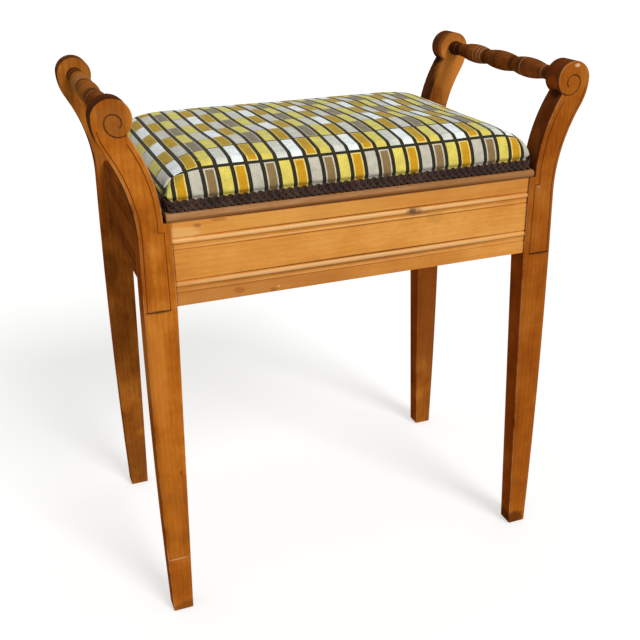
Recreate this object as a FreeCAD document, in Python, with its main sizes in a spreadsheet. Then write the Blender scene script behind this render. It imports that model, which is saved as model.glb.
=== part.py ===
"""Piano stool with a hinged, upholstered lid over a music well.

Millimetres, +Z up, origin on the floor under the middle of the stool.
X runs across the stool and the front faces -Y.
"""
import FreeCAD
import Part
import math
import os
from collections import namedtuple

import Sketcher

# Driving dimensions: name, value, what it is

SIZES = [
    ("overall_depth", 310.0, "front of the front legs to back of the back legs"),
    ("board_thickness", 28.0, "thickness of the boards the legs are sawn from"),
    ("foot_depth", 21.0, "front to back at the foot"),
    ("foot_width", 23.5, "side to side at the foot"),
    ("foot_ease", 1.5, "chamfer round the foot"),
    ("arris_round", 1.2, "softened edges of the legs"),
    ("joint_reach", 210.5, "middle of the stool to the legs' inner edges at the aprons"),
    ("shoulder_height", 491.7, "floor to the legs' shoulders and the aprons' tops"),
    ("shoulder_width", 7.7, "width of the shoulder inside an upright"),
    ("waist_width", 26.1, "width of an upright at its narrowest, from its inner edge"),
    ("waist_drop", 16.7, "shoulder down to the narrowest point of the outer edge"),
    ("shin_swell", 4.1, "fullest outer point of the leg, out from the waist"),
    ("shin_height", 200.0, "floor to that point"),
    ("scroll_out", 40.0, "inner edge of an upright out to the scroll centre"),
    ("scroll_rise", 108.3, "shoulder up to the scroll centre"),
    ("scroll_radius", 20.0, "scroll radius"),
    ("nape_radius", 60.0, "swept back of the upright just under the scroll"),
    ("notch_angle", 229.0, "degrees round the scroll to its notch"),
    ("apron_height", 92.3, "height of the four aprons"),
    ("apron_thickness", 18.0, "thickness of the four aprons"),
    ("front_setback", 2.0, "front and back aprons behind the legs' faces"),
    ("side_setback", 9.3, "side aprons inside the legs' outer edges"),
    ("tenon_thickness", 8.0, "apron tenons"),
    ("tenon_margin", 12.0, "shoulder above and below the tenons"),
    ("long_tenon", 12.0, "length of the front and back aprons' tenons"),
    ("short_tenon", 10.0, "length of the side aprons' tenons"),
    ("glue_play", 0.1, "space round a tenon in its mortise"),
    ("glue_pocket", 0.5, "space past a tenon's end"),
    ("reed_drop", 16.7, "apron top to the upper reed's quirk"),
    ("reed_spacing", 47.1, "upper reed to lower reed"),
    ("reed_width", 6.6, "width of a reed"),
    ("reed_rise", 2.3, "rise of a reed above its quirk"),
    ("quirk_width", 1.2, "width of the quirk over a reed"),
    ("quirk_depth", 1.3, "depth of the quirk over a reed"),
    ("fillet_depth", 0.5, "flat strip under a reed, below the face"),
    ("fillet_width", 5.2, "height of that strip"),
    ("scratch_width", 0.9, "fine line under the strip"),
    ("volute_width", 1.7, "width of the groove carved in a scroll"),
    ("volute_depth", 1.1, "depth of that groove"),
    ("volute_drop", 0.18, "scroll centre down to the groove's middle, as a share of the scroll's radius"),
    ("volute_side", 0.395, "scroll centre out to the groove's outermost point, as that share"),
    ("volute_outer", 0.69, "radius of the groove's outer turn, as that share"),
    ("volute_inner", 0.42, "radius of its middle turn, as that share"),
    ("volute_eye", 0.27, "radius of its last turn, as that share"),
    ("string_width", 1.1, "width of the lines cut in the front legs"),
    ("string_depth", 0.7, "depth of those lines"),
    ("string_outer", 3.7, "outer line in from the leg's outer edge"),
    ("string_inner", 5.9, "upper inner line in from the upright's inner edge"),
    ("string_lower", 7.6, "lower inner line in from the leg's inner edge"),
    ("string_step", 9.2, "shoulder down to the step in the inner line"),
    ("string_end", 2.4, "apron bottom down to the closing line"),
    ("string_start", 10.0, "scroll centre down to the outer line's start"),
    ("string_stop", 9.5, "notch down to the inner line's end"),
    ("rail_dowel", 6.0, "radius of the dowel on each end of a handle rail"),
    ("dowel_length", 12.0, "length of that dowel"),
    ("rail_belly", 11.8, "radius of the rail where it is fattest"),
    ("rail_neck", 8.6, "radius at the necks beside the middle swelling"),
    ("rail_wrist", 7.6, "radius at the outer ends of the side swellings"),
    ("neck_place", 32.5, "middle of the rail to a neck"),
    ("ring_width", 4.0, "small ring past the side swelling"),
    ("ring_rise", 0.9, "rise of that ring"),
    ("cove_width", 11.0, "hollow between ring and band"),
    ("cove_depth", 0.9, "depth of the hollow"),
    ("band_width", 4.5, "narrow band beside the collar"),
    ("band_radius", 8.6, "radius of the rail at the band"),
    ("collar_width", 10.5, "collar against the scroll"),
    ("collar_root", 8.0, "radius of the rail where the collar starts"),
    ("collar_rise", 1.4, "rise of the collar"),
    ("score_width", 1.2, "width of the turned score lines"),
    ("score_depth", 0.8, "depth of the turned score lines"),
    ("lid_end_gap", 3.2, "space between the lid's ends and the uprights"),
    ("lid_thickness", 9.0, "lid board"),
    ("lid_overhang", 4.0, "lid past the front and back aprons"),
    ("lid_gap", 0.3, "space between the closed lid and the aprons"),
    ("nosing_reach", 3.3, "depth of the lid's rounded front edge"),
    ("lid_back_round", 3.0, "rounded top of the lid's back edge"),
    ("lid_end_ease", 1.6, "eased ends of the lid"),
    ("hinge_inset", 70.5, "leg's inner edge to the middle of a hinge"),
    ("hinge_length", 50.0, "length of a hinge"),
    ("leaf_width", 16.0, "hinge pin to the edge of a leaf"),
    ("leaf_thickness", 1.6, "thickness of a leaf"),
    ("knuckle_radius", 3.2, "outside of the hinge's barrel"),
    ("pin_radius", 1.6, "hinge pin"),
    ("pin_play", 0.05, "space round the hinge pin"),
    ("knuckle_gap", 0.3, "space between neighbouring knuckles"),
    ("hinge_out", 0.4, "hinge pin behind the back legs' faces"),
    ("hinge_clearance", 0.4, "space round the barrel"),
    ("recess_play", 0.1, "space round a leaf in its recess"),
    ("bearer_size", 12.0, "square section of the well's bearers"),
    ("bearer_rise", 3.0, "apron bottom to the bearers"),
    ("floor_thickness", 4.0, "well floor"),
    ("fit_gap", 0.3, "space round the loose pieces in the well"),
    ("gimp_inset_ends", 0.5, "braid in from the lid's ends"),
    ("gimp_inset_long", 5.5, "braid in from the lid's front and back edges"),
    ("gimp_height", 13.5, "braid, bottom to top"),
    ("gimp_thickness", 2.6, "thickness of the braid"),
    ("gimp_corner", 14.0, "outer corner radius of the braid"),
    ("soft_gap", 0.3, "space round the soft pieces"),
    ("cushion_swell", 2.4, "cushion past its own base above the braid"),
    ("cushion_side", 30.0, "rise of the cushion's rounded edge"),
    ("cushion_round_ends", 45.0, "reach of the rounded edge at the two ends"),
    ("cushion_round_long", 20.0, "reach of the rounded edge at front and back"),
    ("cushion_corner", 26.0, "corner radius at the end of the rounded edge"),
    ("cushion_crown", 7.5, "rise of the crown above the rounded edge"),
]

# Places of the turned score lines along the rail, from its middle

SCORES = [55.0, 47.0, 40.0, 14.5, 9.0, -53.0, -58.0]


class Size:
    """A length with its value and the sheet expression that drives it."""

    def __init__(self, value, text):
        self.value = float(value)
        self.text = text

    def _join(self, other, sign, value):
        return Size(value, "(%s %s %s)" % (self.text, sign, as_size(other).text))

    def __add__(self, other):
        return self._join(other, "+", self.value + as_size(other).value)

    def __sub__(self, other):
        return self._join(other, "-", self.value - as_size(other).value)

    def __mul__(self, other):
        return self._join(other, "*", self.value * as_size(other).value)

    def __truediv__(self, other):
        return self._join(other, "/", self.value / as_size(other).value)

    def __neg__(self):
        return self * -1


def as_size(number):
    """A plain number as a size that nothing drives."""
    if isinstance(number, Size):
        return number
    return Size(number, repr(float(number)))


def sine(angle):
    """Sine of an angle in degrees."""
    angle = as_size(angle)
    return Size(math.sin(math.radians(angle.value)), "sin(%s)" % angle.text)


def cosine(angle):
    """Cosine of an angle in degrees."""
    angle = as_size(angle)
    return Size(math.cos(math.radians(angle.value)), "cos(%s)" % angle.text)


def root(size):
    """Square root."""
    return Size(math.sqrt(size.value), "sqrt(%s)" % size.text)


def make_sheet(doc):
    """Put the driving dimensions in a sheet and return them by name."""
    sheet = doc.addObject("Spreadsheet::Sheet", "Sizes")
    sizes = {}
    for row, (name, value, note) in enumerate(SIZES, start=1):
        sheet.set("A%d" % row, note)
        sheet.set("B%d" % row, str(value))
        sheet.setAlias("B%d" % row, name)
        sizes[name] = Size(value, "Sizes.%s" % name)
    doc.recompute()
    add_places(sizes)
    return namedtuple("Sizes", sizes)(**sizes)


def add_places(sizes):
    """Work out the places that several sub-parts share."""
    half_depth = sizes["overall_depth"] / 2
    sizes["inner_face"] = half_depth - sizes["board_thickness"]
    sizes["upright_reach"] = sizes["joint_reach"] + sizes["shoulder_width"]
    sizes["waist_reach"] = sizes["upright_reach"] + sizes["waist_width"]
    sizes["waist_height"] = sizes["shoulder_height"] - sizes["waist_drop"]
    sizes["scroll_reach"] = sizes["upright_reach"] + sizes["scroll_out"]
    sizes["scroll_height"] = sizes["shoulder_height"] + sizes["scroll_rise"]
    sizes["apron_bottom"] = sizes["shoulder_height"] - sizes["apron_height"]
    sizes["long_face"] = half_depth - sizes["front_setback"]
    sizes["side_face"] = sizes["waist_reach"] - sizes["side_setback"]
    sizes["lid_bottom"] = sizes["shoulder_height"] + sizes["lid_gap"]
    sizes["lid_top"] = sizes["lid_bottom"] + sizes["lid_thickness"]
    sizes["lid_half_length"] = sizes["upright_reach"] - sizes["lid_end_gap"]
    sizes["lid_half_depth"] = sizes["long_face"] + sizes["lid_overhang"]
    sizes["gimp_half_length"] = sizes["lid_half_length"] - sizes["gimp_inset_ends"]
    sizes["gimp_half_depth"] = sizes["lid_half_depth"] - sizes["gimp_inset_long"]
    sizes["soft_base"] = sizes["lid_top"] + sizes["soft_gap"]
    sizes["hinge_place"] = sizes["joint_reach"] - sizes["hinge_inset"]


def bow(chord, rise):
    """Radius of an arc from its chord and its rise."""
    half = chord / 2
    return (half * half + rise * rise) / (rise * 2)


# Outlines

Corner = namedtuple("Corner", "x y radius turn wide", defaults=(None, 0, False))
LEFT = 1
RIGHT = -1


def arc_centre(start, end, radius, turn, wide):
    """Centre of the arc from start to end that turns left or right."""
    run = end - start
    half = run.Length / 2
    rise = math.sqrt(max(radius * radius - half * half, 0.0))
    side = FreeCAD.Vector(-run.y, run.x, 0) / run.Length
    if wide:
        turn = -turn
    return (start + end) / 2 + side * rise * turn


def add_piece(sketch, corner, following):
    """Add the line or arc between two corners; return it with its first and last point."""
    start = FreeCAD.Vector(as_size(corner.x).value, as_size(corner.y).value, 0)
    end = FreeCAD.Vector(as_size(following.x).value, as_size(following.y).value, 0)
    if corner.radius is None:
        return sketch.addGeometry(Part.LineSegment(start, end)), 1, 2
    radius = as_size(corner.radius)
    centre = arc_centre(start, end, radius.value, corner.turn, corner.wide)
    if corner.turn == LEFT:
        first, last = start, end
    else:
        first, last = end, start
    circle = Part.Circle(centre, FreeCAD.Vector(0, 0, 1), radius.value)
    from_angle = math.atan2(first.y - centre.y, first.x - centre.x)
    to_angle = math.atan2(last.y - centre.y, last.x - centre.x)
    piece = sketch.addGeometry(Part.ArcOfCircle(circle, from_angle, to_angle))
    drive(sketch, Sketcher.Constraint("Radius", piece, radius.value), radius)
    if corner.turn == LEFT:
        return piece, 1, 2
    return piece, 2, 1


def drive(sketch, constraint, size):
    """Add a constraint whose value follows a size."""
    place = sketch.addConstraint(constraint)
    sketch.setExpression("Constraints[%d]" % place, size.text)


def hold(sketch, piece, point, x, y):
    """Hold a point of a sketch at x, y from its origin."""
    x = as_size(x)
    y = as_size(y)
    drive(sketch, Sketcher.Constraint("DistanceX", -1, 1, piece, point, x.value), x)
    drive(sketch, Sketcher.Constraint("DistanceY", -1, 1, piece, point, y.value), y)


def draw(sketch, corners):
    """Draw one closed outline through its corners."""
    pieces = []
    for place, corner in enumerate(corners):
        following = corners[(place + 1) % len(corners)]
        pieces.append(add_piece(sketch, corner, following))
    for place, (piece, first, last) in enumerate(pieces):
        neighbour, neighbour_first, _ = pieces[(place + 1) % len(pieces)]
        sketch.addConstraint(Sketcher.Constraint("Coincident", piece, last, neighbour, neighbour_first))
    for (piece, first, _), corner in zip(pieces, corners):
        hold(sketch, piece, first, corner.x, corner.y)


def draw_box(sketch, left, low, right, high):
    """Draw a rectangle between two opposite corners."""
    draw(sketch, [Corner(left, low), Corner(right, low), Corner(right, high), Corner(left, high)])


def draw_circle(sketch, x, y, radius):
    """Draw a circle."""
    centre = FreeCAD.Vector(as_size(x).value, as_size(y).value, 0)
    circle = sketch.addGeometry(Part.Circle(centre, FreeCAD.Vector(0, 0, 1), radius.value))
    hold(sketch, circle, 3, x, y)
    drive(sketch, Sketcher.Constraint("Radius", circle, radius.value), radius)


def rounded_box(half_length, half_depth, corner):
    """Corners of a rectangle about the origin with rounded corners."""
    return [
        Corner(corner - half_length, -half_depth),
        Corner(half_length - corner, -half_depth, corner, LEFT),
        Corner(half_length, corner - half_depth),
        Corner(half_length, half_depth - corner, corner, LEFT),
        Corner(half_length - corner, half_depth),
        Corner(corner - half_length, half_depth, corner, LEFT),
        Corner(-half_length, half_depth - corner),
        Corner(-half_length, corner - half_depth, corner, LEFT),
    ]


# Features

def new_body(doc, name):
    """A body whose label names its sub-part."""
    body = doc.addObject("PartDesign::Body", name)
    body.Label = name
    return body


def new_sketch(body, plane, level=0):
    """A sketch on a plane of the body, moved along that plane's normal."""
    sketch = body.newObject("Sketcher::SketchObject", "Sketch")
    support = [feature for feature in body.Origin.OriginFeatures if feature.Role == plane]
    sketch.AttachmentSupport = [(support[0], "")]
    sketch.MapMode = "FlatFace"
    sketch.setExpression("AttachmentOffset.Base.z", as_size(level).text)
    return sketch


def pad(body, sketch, length, reverse=False, both=False):
    """Raise a sketch into a solid."""
    feature = body.newObject("PartDesign::Pad", "Pad")
    feature.Profile = sketch
    feature.setExpression("Length", as_size(length).text)
    feature.Reversed = reverse
    if both:
        feature.SideType = "Symmetric"
    return feature


def pocket(body, sketch, depth, reverse=False, both=False):
    """Cut a sketch into a solid; the volume must fall."""
    doc = body.Document
    doc.recompute()
    before = body.Shape.Volume
    feature = body.newObject("PartDesign::Pocket", "Pocket")
    feature.Profile = sketch
    feature.setExpression("Length", as_size(depth).text)
    feature.Reversed = reverse
    if both:
        feature.SideType = "Symmetric"
    doc.recompute()
    if body.Shape.Volume > before - 1e-3:
        raise ValueError("%s: a pocket cuts nothing" % body.Label)
    return feature


def edges_where(shape, test):
    """Names of the edges whose points all pass a test."""
    names = []
    for place, edge in enumerate(shape.Edges, start=1):
        if all(test(point) for point in edge.discretize(5)):
            names.append("Edge%d" % place)
    return names


def soften(body, kind, size, test):
    """Fillet or chamfer the edges of the last feature that pass a test."""
    body.Document.recompute()
    base = body.Tip
    names = edges_where(base.Shape, test)
    if not names:
        raise ValueError("%s: no edge to soften" % body.Label)
    feature = body.newObject("PartDesign::%s" % kind, kind)
    feature.Base = (base, names)
    feature.setExpression("Radius" if kind == "Fillet" else "Size", size.text)
    return feature


# Legs

Curves = namedtuple("Curves", "nape_x nape_z waist_x waist_z waist_radius nape_way shin_x shin_z shin_radius shin_way")


def outer_curves(sizes):
    """Centres and radii of the outer edge's three arcs, and the ways from the waist's centre to the others."""
    nape_x = sizes.scroll_reach + sizes.scroll_radius - sizes.nape_radius
    nape_z = sizes.scroll_height
    side = sizes.waist_reach - nape_x
    rise = nape_z - sizes.waist_height
    slack = side * side + rise * rise - sizes.nape_radius * sizes.nape_radius
    waist_radius = slack / ((sizes.nape_radius - side) * 2)
    waist_x = sizes.waist_reach + waist_radius
    waist_z = sizes.waist_height
    apart = sizes.nape_radius + waist_radius
    nape_way = ((nape_x - waist_x) / apart, (nape_z - waist_z) / apart)

    side = waist_radius - sizes.shin_swell
    rise = waist_z - sizes.shin_height
    slack = side * side + rise * rise - waist_radius * waist_radius
    shin_radius = slack / (sizes.shin_swell * 2)
    shin_x = sizes.waist_reach + sizes.shin_swell - shin_radius
    shin_z = sizes.shin_height
    apart = shin_radius + waist_radius
    shin_way = ((shin_x - waist_x) / apart, (shin_z - waist_z) / apart)
    return Curves(nape_x, nape_z, waist_x, waist_z, waist_radius, nape_way, shin_x, shin_z, shin_radius, shin_way)


def inner_curve(sizes):
    """The notch beside the scroll, and the radius of the upright's inner edge below it."""
    notch_x = sizes.scroll_reach + sizes.scroll_radius * cosine(sizes.notch_angle)
    notch_z = sizes.scroll_height + sizes.scroll_radius * sine(sizes.notch_angle)
    out = notch_x - sizes.upright_reach
    climb = notch_z - sizes.shoulder_height
    return notch_x, notch_z, bow(climb * 2, out)


def height_on(radius, rise):
    """Way from an arc's centre to the outer point that lies a rise above it."""
    share = rise / radius
    return root(as_size(1) - share * share), share


def leg_outline(sizes):
    """Front view of the right-hand leg, from the inner corner of the foot."""
    curves = outer_curves(sizes)
    notch_x, notch_z, inner_radius = inner_curve(sizes)
    foot_way = height_on(curves.shin_radius, -curves.shin_z)
    foot_outer = curves.shin_x + curves.shin_radius * foot_way[0]
    low_x = curves.waist_x + curves.waist_radius * curves.shin_way[0]
    low_z = curves.waist_z + curves.waist_radius * curves.shin_way[1]
    high_x = curves.waist_x + curves.waist_radius * curves.nape_way[0]
    high_z = curves.waist_z + curves.waist_radius * curves.nape_way[1]
    return [
        Corner(foot_outer - sizes.foot_width, 0),
        Corner(foot_outer, 0, curves.shin_radius, LEFT),
        Corner(low_x, low_z, curves.waist_radius, RIGHT),
        Corner(high_x, high_z, sizes.nape_radius, LEFT),
        Corner(sizes.scroll_reach + sizes.scroll_radius, sizes.scroll_height, sizes.scroll_radius, LEFT, True),
        Corner(notch_x, notch_z, inner_radius, LEFT),
        Corner(sizes.upright_reach, sizes.shoulder_height),
        Corner(sizes.joint_reach, sizes.shoulder_height),
        Corner(sizes.joint_reach, sizes.apron_bottom),
    ]


def make_leg(doc, name, sizes, end):
    """Right-hand leg board; end is -1 for a front leg and 1 for a back leg."""
    body = new_body(doc, name)
    half_depth = sizes.overall_depth / 2
    inner_face = sizes.inner_face
    apron_bottom = sizes.apron_bottom
    sketch = new_sketch(body, "XZ_Plane", inner_face * -end)
    draw(sketch, leg_outline(sizes))
    pad(body, sketch, sizes.board_thickness, reverse=end > 0)

    # the lower leg thins towards the foot on its hidden face
    sketch = new_sketch(body, "YZ_Plane")
    foot_face = half_depth - sizes.foot_depth
    draw(sketch, [
        Corner(inner_face * end, apron_bottom),
        Corner(inner_face * end, 0),
        Corner(foot_face * end, 0),
    ])
    pocket(body, sketch, sizes.scroll_reach * 3, both=True)

    def at_foot(point):
        return abs(point.z) < 1e-4
    soften(body, "Chamfer", sizes.foot_ease, at_foot)

    def on_show_face(point):
        beside_apron = point.x < sizes.upright_reach.value - 1e-4 and point.z > apron_bottom.value + 1e-4
        on_face = abs(point.y - half_depth.value * end) < 1e-4
        return on_face and not beside_apron and point.z > sizes.foot_ease.value / 2
    soften(body, "Fillet", sizes.arris_round, on_show_face)

    # mortise for the front or back apron
    low = apron_bottom + sizes.tenon_margin - sizes.glue_play
    high = sizes.shoulder_height - sizes.tenon_margin + sizes.glue_play
    half_slot = sizes.tenon_thickness / 2 + sizes.glue_play
    middle = (sizes.long_face - sizes.apron_thickness / 2) * end
    sketch = new_sketch(body, "YZ_Plane", sizes.joint_reach)
    draw_box(sketch, middle - half_slot, low, middle + half_slot, high)
    pocket(body, sketch, sizes.long_tenon + sizes.glue_pocket, reverse=True)

    # mortise for the side apron
    middle = sizes.side_face - sizes.apron_thickness / 2
    sketch = new_sketch(body, "XZ_Plane", inner_face * -end)
    draw_box(sketch, middle - half_slot, low, middle + half_slot, high)
    pocket(body, sketch, sizes.short_tenon + sizes.glue_pocket, reverse=end < 0)

    # blind hole for the handle rail
    sketch = new_sketch(body, "XZ_Plane", inner_face * -end)
    draw_circle(sketch, sizes.scroll_reach, sizes.scroll_height, sizes.rail_dowel + sizes.glue_play)
    pocket(body, sketch, sizes.dowel_length + sizes.glue_pocket, reverse=end < 0)
    return body


Turn = namedtuple("Turn", "x z radius start end turn")


def draw_groove(sketch, turns, width):
    """Closed outline of a groove of one width along arcs that run into each other."""
    half = width / 2
    left_side = []
    right_side = []
    for arc in turns:
        near = arc.radius - half * arc.turn
        far = arc.radius + half * arc.turn
        left_side.append((arc, near))
        right_side.append((arc, far))
    corners = []
    for arc, radius in left_side:
        corners.append(Corner(arc.x + radius * arc.start[0], arc.z + radius * arc.start[1], radius, arc.turn))
    last, radius = left_side[-1]
    corners.append(Corner(last.x + radius * last.end[0], last.z + radius * last.end[1]))
    for arc, radius in reversed(right_side):
        corners.append(Corner(arc.x + radius * arc.end[0], arc.z + radius * arc.end[1], radius, -arc.turn))
    first, radius = right_side[0]
    corners.append(Corner(first.x + radius * first.start[0], first.z + radius * first.start[1]))
    draw(sketch, corners)


def direction(angle):
    """Way out from a centre at an angle in degrees."""
    return cosine(angle), sine(angle)


def opposite(way):
    """The other way."""
    return -way[0], -way[1]


def carve(body, sizes, turns, width, depth):
    """Cut a groove along arcs into the front face of the front leg."""
    sketch = new_sketch(body, "XZ_Plane", sizes.overall_depth / 2)
    draw_groove(sketch, turns, width)
    pocket(body, sketch, depth)


def carve_volute(body, sizes):
    """Spiral groove in the scroll, winding in from the notch."""
    outer = sizes.scroll_radius * sizes.volute_outer
    inner = sizes.scroll_radius * sizes.volute_inner
    eye = sizes.scroll_radius * sizes.volute_eye
    level = sizes.scroll_height - sizes.scroll_radius * sizes.volute_drop
    outermost = sizes.scroll_reach + sizes.scroll_radius * sizes.volute_side
    innermost = outermost - inner * 2
    turns = [
        Turn(outermost - outer, level, outer, direction(233), direction(0), LEFT),
        Turn(outermost - inner, level, inner, direction(0), direction(90), LEFT),
        Turn(outermost - inner, level, inner, direction(90), direction(180), LEFT),
        Turn(innermost + eye, level, eye, direction(180), direction(238), LEFT),
    ]
    carve(body, sizes, turns, sizes.volute_width, sizes.volute_depth)


def cut_strings(body, sizes):
    """Fine lines that frame the front of a leg and run up into the scroll."""
    curves = outer_curves(sizes)
    _, notch_z, inner_radius = inner_curve(sizes)
    half = sizes.string_width / 2
    bottom = sizes.apron_bottom - sizes.string_end
    step = sizes.shoulder_height - sizes.string_step

    # outer line, at one distance from the leg's outer edge
    nape = sizes.nape_radius - sizes.string_outer
    waist = curves.waist_radius + sizes.string_outer
    shin = curves.shin_radius - sizes.string_outer
    top_way = height_on(nape, -sizes.string_start)
    bottom_way = height_on(shin, bottom - curves.shin_z)
    turns = [
        Turn(curves.nape_x, curves.nape_z, nape, top_way, opposite(curves.nape_way), RIGHT),
        Turn(curves.waist_x, curves.waist_z, waist, curves.nape_way, curves.shin_way, LEFT),
        Turn(curves.shin_x, curves.shin_z, shin, opposite(curves.shin_way), bottom_way, RIGHT),
    ]
    carve(body, sizes, turns, sizes.string_width, sizes.string_depth)

    # inner line up the inside of the upright
    radius = inner_radius - sizes.string_inner
    start = (as_size(-1), as_size(0))
    end_x, end_z = height_on(radius, notch_z - sizes.string_stop - sizes.shoulder_height)
    turns = [
        Turn(sizes.upright_reach + inner_radius, sizes.shoulder_height, radius, start, (-end_x, end_z), RIGHT),
    ]
    carve(body, sizes, turns, sizes.string_width, sizes.string_depth)

    # straight lines that close the frame, with a step level with the apron
    outer_x = curves.shin_x + shin * bottom_way[0]
    inner_x = sizes.upright_reach + sizes.string_inner
    lower_x = sizes.joint_reach + sizes.string_lower
    sketch = new_sketch(body, "XZ_Plane", sizes.overall_depth / 2)
    draw(sketch, [
        Corner(outer_x + half, bottom - half),
        Corner(outer_x + half, bottom + half),
        Corner(lower_x + half, bottom + half),
        Corner(lower_x + half, step - half),
        Corner(inner_x + half, step - half),
        Corner(inner_x + half, sizes.shoulder_height),
        Corner(inner_x - half, sizes.shoulder_height),
        Corner(inner_x - half, step + half),
        Corner(lower_x - half, step + half),
        Corner(lower_x - half, bottom - half),
    ])
    pocket(body, sketch, sizes.string_depth)


def mirror_across(doc, name, source):
    """The same piece on the left-hand side."""
    mirrored = doc.addObject("Part::Mirroring", name)
    mirrored.Source = source
    mirrored.Normal = FreeCAD.Vector(1, 0, 0)
    mirrored.Label = name
    return mirrored


# Aprons

def apron_section(sizes, face, out):
    """Section of an apron with its two reeds; out is the way its face looks."""
    top = sizes.shoulder_height
    reed_radius = bow(sizes.reed_width, sizes.reed_rise)
    quirk = face - sizes.quirk_depth * out
    strip = face - sizes.fillet_depth * out
    corners = [Corner(face, top)]
    for drop in (sizes.reed_drop, sizes.reed_drop + sizes.reed_spacing):
        level = top - drop
        reed_top = level - sizes.quirk_width
        reed_bottom = reed_top - sizes.reed_width
        strip_bottom = reed_bottom - sizes.fillet_width
        scratch_bottom = strip_bottom - sizes.scratch_width
        corners += [
            Corner(face, level),
            Corner(quirk, level),
            Corner(quirk, reed_top, reed_radius, -LEFT if out > 0 else LEFT),
            Corner(quirk, reed_bottom),
            Corner(strip, reed_bottom),
            Corner(strip, strip_bottom),
            Corner(quirk, strip_bottom),
            Corner(quirk, scratch_bottom),
            Corner(face, scratch_bottom),
        ]
    bottom = sizes.apron_bottom
    back = face - sizes.apron_thickness * out
    corners += [Corner(face, bottom), Corner(back, bottom), Corner(back, top)]
    return corners


def make_apron(doc, name, sizes, plane, reach, between, tenon):
    """Apron and its tenons; reach is signed, between is the distance between the legs."""
    body = new_body(doc, name)
    out = 1 if reach.value > 0 else -1
    sketch = new_sketch(body, plane)
    draw(sketch, apron_section(sizes, reach, out))
    pad(body, sketch, between, both=True)
    middle = reach - sizes.apron_thickness / 2 * out
    half = sizes.tenon_thickness / 2
    low = sizes.apron_bottom + sizes.tenon_margin
    high = sizes.shoulder_height - sizes.tenon_margin
    sketch = new_sketch(body, plane)
    draw_box(sketch, middle - half, low, middle + half, high)
    pad(body, sketch, between + tenon * 2, both=True)
    return body


def hinge_recesses(body, sizes, level, up):
    """Seats for the two leaves and barrels in the back apron (up -1) or the lid (up 1)."""
    axis_y, axis_z = hinge_axis(sizes)
    leaf_edge = axis_y - sizes.leaf_width - sizes.recess_play
    half_length = sizes.hinge_length / 2 + sizes.recess_play
    barrel_reach = sizes.knuckle_radius + sizes.hinge_clearance
    past_edge = axis_y + barrel_reach + sizes.lid_overhang
    barrel_depth = barrel_reach - (level - axis_z) * up
    for middle in (sizes.hinge_place, -sizes.hinge_place):
        sketch = new_sketch(body, "XY_Plane", level)
        draw_box(sketch, middle - half_length, leaf_edge, middle + half_length, past_edge)
        pocket(body, sketch, sizes.leaf_thickness + sizes.recess_play, reverse=up > 0)
        sketch = new_sketch(body, "XY_Plane", level)
        draw_box(sketch, middle - half_length, axis_y - barrel_reach, middle + half_length, past_edge)
        pocket(body, sketch, barrel_depth, reverse=up > 0)


# Handle rails

def rail_places(sizes):
    """Places along the rail, from its middle: end of the side swelling, ring, cove, band and collar."""
    collar = sizes.inner_face - sizes.collar_width
    band = collar - sizes.band_width
    cove = band - sizes.cove_width
    wrist = cove - sizes.ring_width
    return wrist, cove, band, collar, sizes.inner_face


def side_swelling(sizes):
    """Radius of the side swelling's profile, and the place and height of its centre."""
    wrist = rail_places(sizes)[0]
    run = wrist - sizes.neck_place
    fall = sizes.rail_neck - sizes.rail_wrist
    chord = root(run * run + fall * fall)
    radius = bow(chord, sizes.rail_belly - (sizes.rail_neck + sizes.rail_wrist) / 2)
    depth = root(radius * radius - chord * chord / 4)
    place = (wrist + sizes.neck_place) / 2 - fall / chord * depth
    height = (sizes.rail_neck + sizes.rail_wrist) / 2 - run / chord * depth
    return radius, place, height


def rail_outline(sizes):
    """Half section of a handle rail about its own axis, from one end to the other and back along the axis."""
    wrist, cove, band, collar, end = rail_places(sizes)
    belly_radius = bow(sizes.neck_place * 2, sizes.rail_belly - sizes.rail_neck)
    side_radius = side_swelling(sizes)[0]
    ring_radius = bow(sizes.ring_width, sizes.ring_rise)
    cove_radius = bow(sizes.cove_width, sizes.cove_depth)
    collar_radius = bow(sizes.collar_width, sizes.collar_rise)
    tip = end + sizes.dowel_length
    return [
        Corner(-tip, 0),
        Corner(-tip, sizes.rail_dowel),
        Corner(-end, sizes.rail_dowel),
        Corner(-end, sizes.collar_root, collar_radius, RIGHT),
        Corner(-collar, sizes.collar_root),
        Corner(-collar, sizes.band_radius),
        Corner(-band, sizes.band_radius),
        Corner(-band, sizes.rail_wrist, cove_radius, LEFT),
        Corner(-cove, sizes.rail_wrist, ring_radius, RIGHT),
        Corner(-wrist, sizes.rail_wrist, side_radius, RIGHT),
        Corner(-sizes.neck_place, sizes.rail_neck, belly_radius, RIGHT),
        Corner(sizes.neck_place, sizes.rail_neck, side_radius, RIGHT),
        Corner(wrist, sizes.rail_wrist, ring_radius, RIGHT),
        Corner(cove, sizes.rail_wrist, cove_radius, LEFT),
        Corner(band, sizes.rail_wrist),
        Corner(band, sizes.band_radius),
        Corner(collar, sizes.band_radius),
        Corner(collar, sizes.collar_root, collar_radius, RIGHT),
        Corner(end, sizes.collar_root),
        Corner(end, sizes.rail_dowel),
        Corner(tip, sizes.rail_dowel),
        Corner(tip, 0),
    ]


def rail_radius(sizes, place):
    """Radius of the rail on its swellings, at a place from its middle."""
    if abs(place) < sizes.neck_place.value:
        radius = bow(sizes.neck_place * 2, sizes.rail_belly - sizes.rail_neck)
        centre = as_size(0)
        height = sizes.rail_belly - radius
    else:
        radius, centre, height = side_swelling(sizes)
    along = as_size(abs(place)) - centre
    return height + root(radius * radius - along * along)


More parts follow.
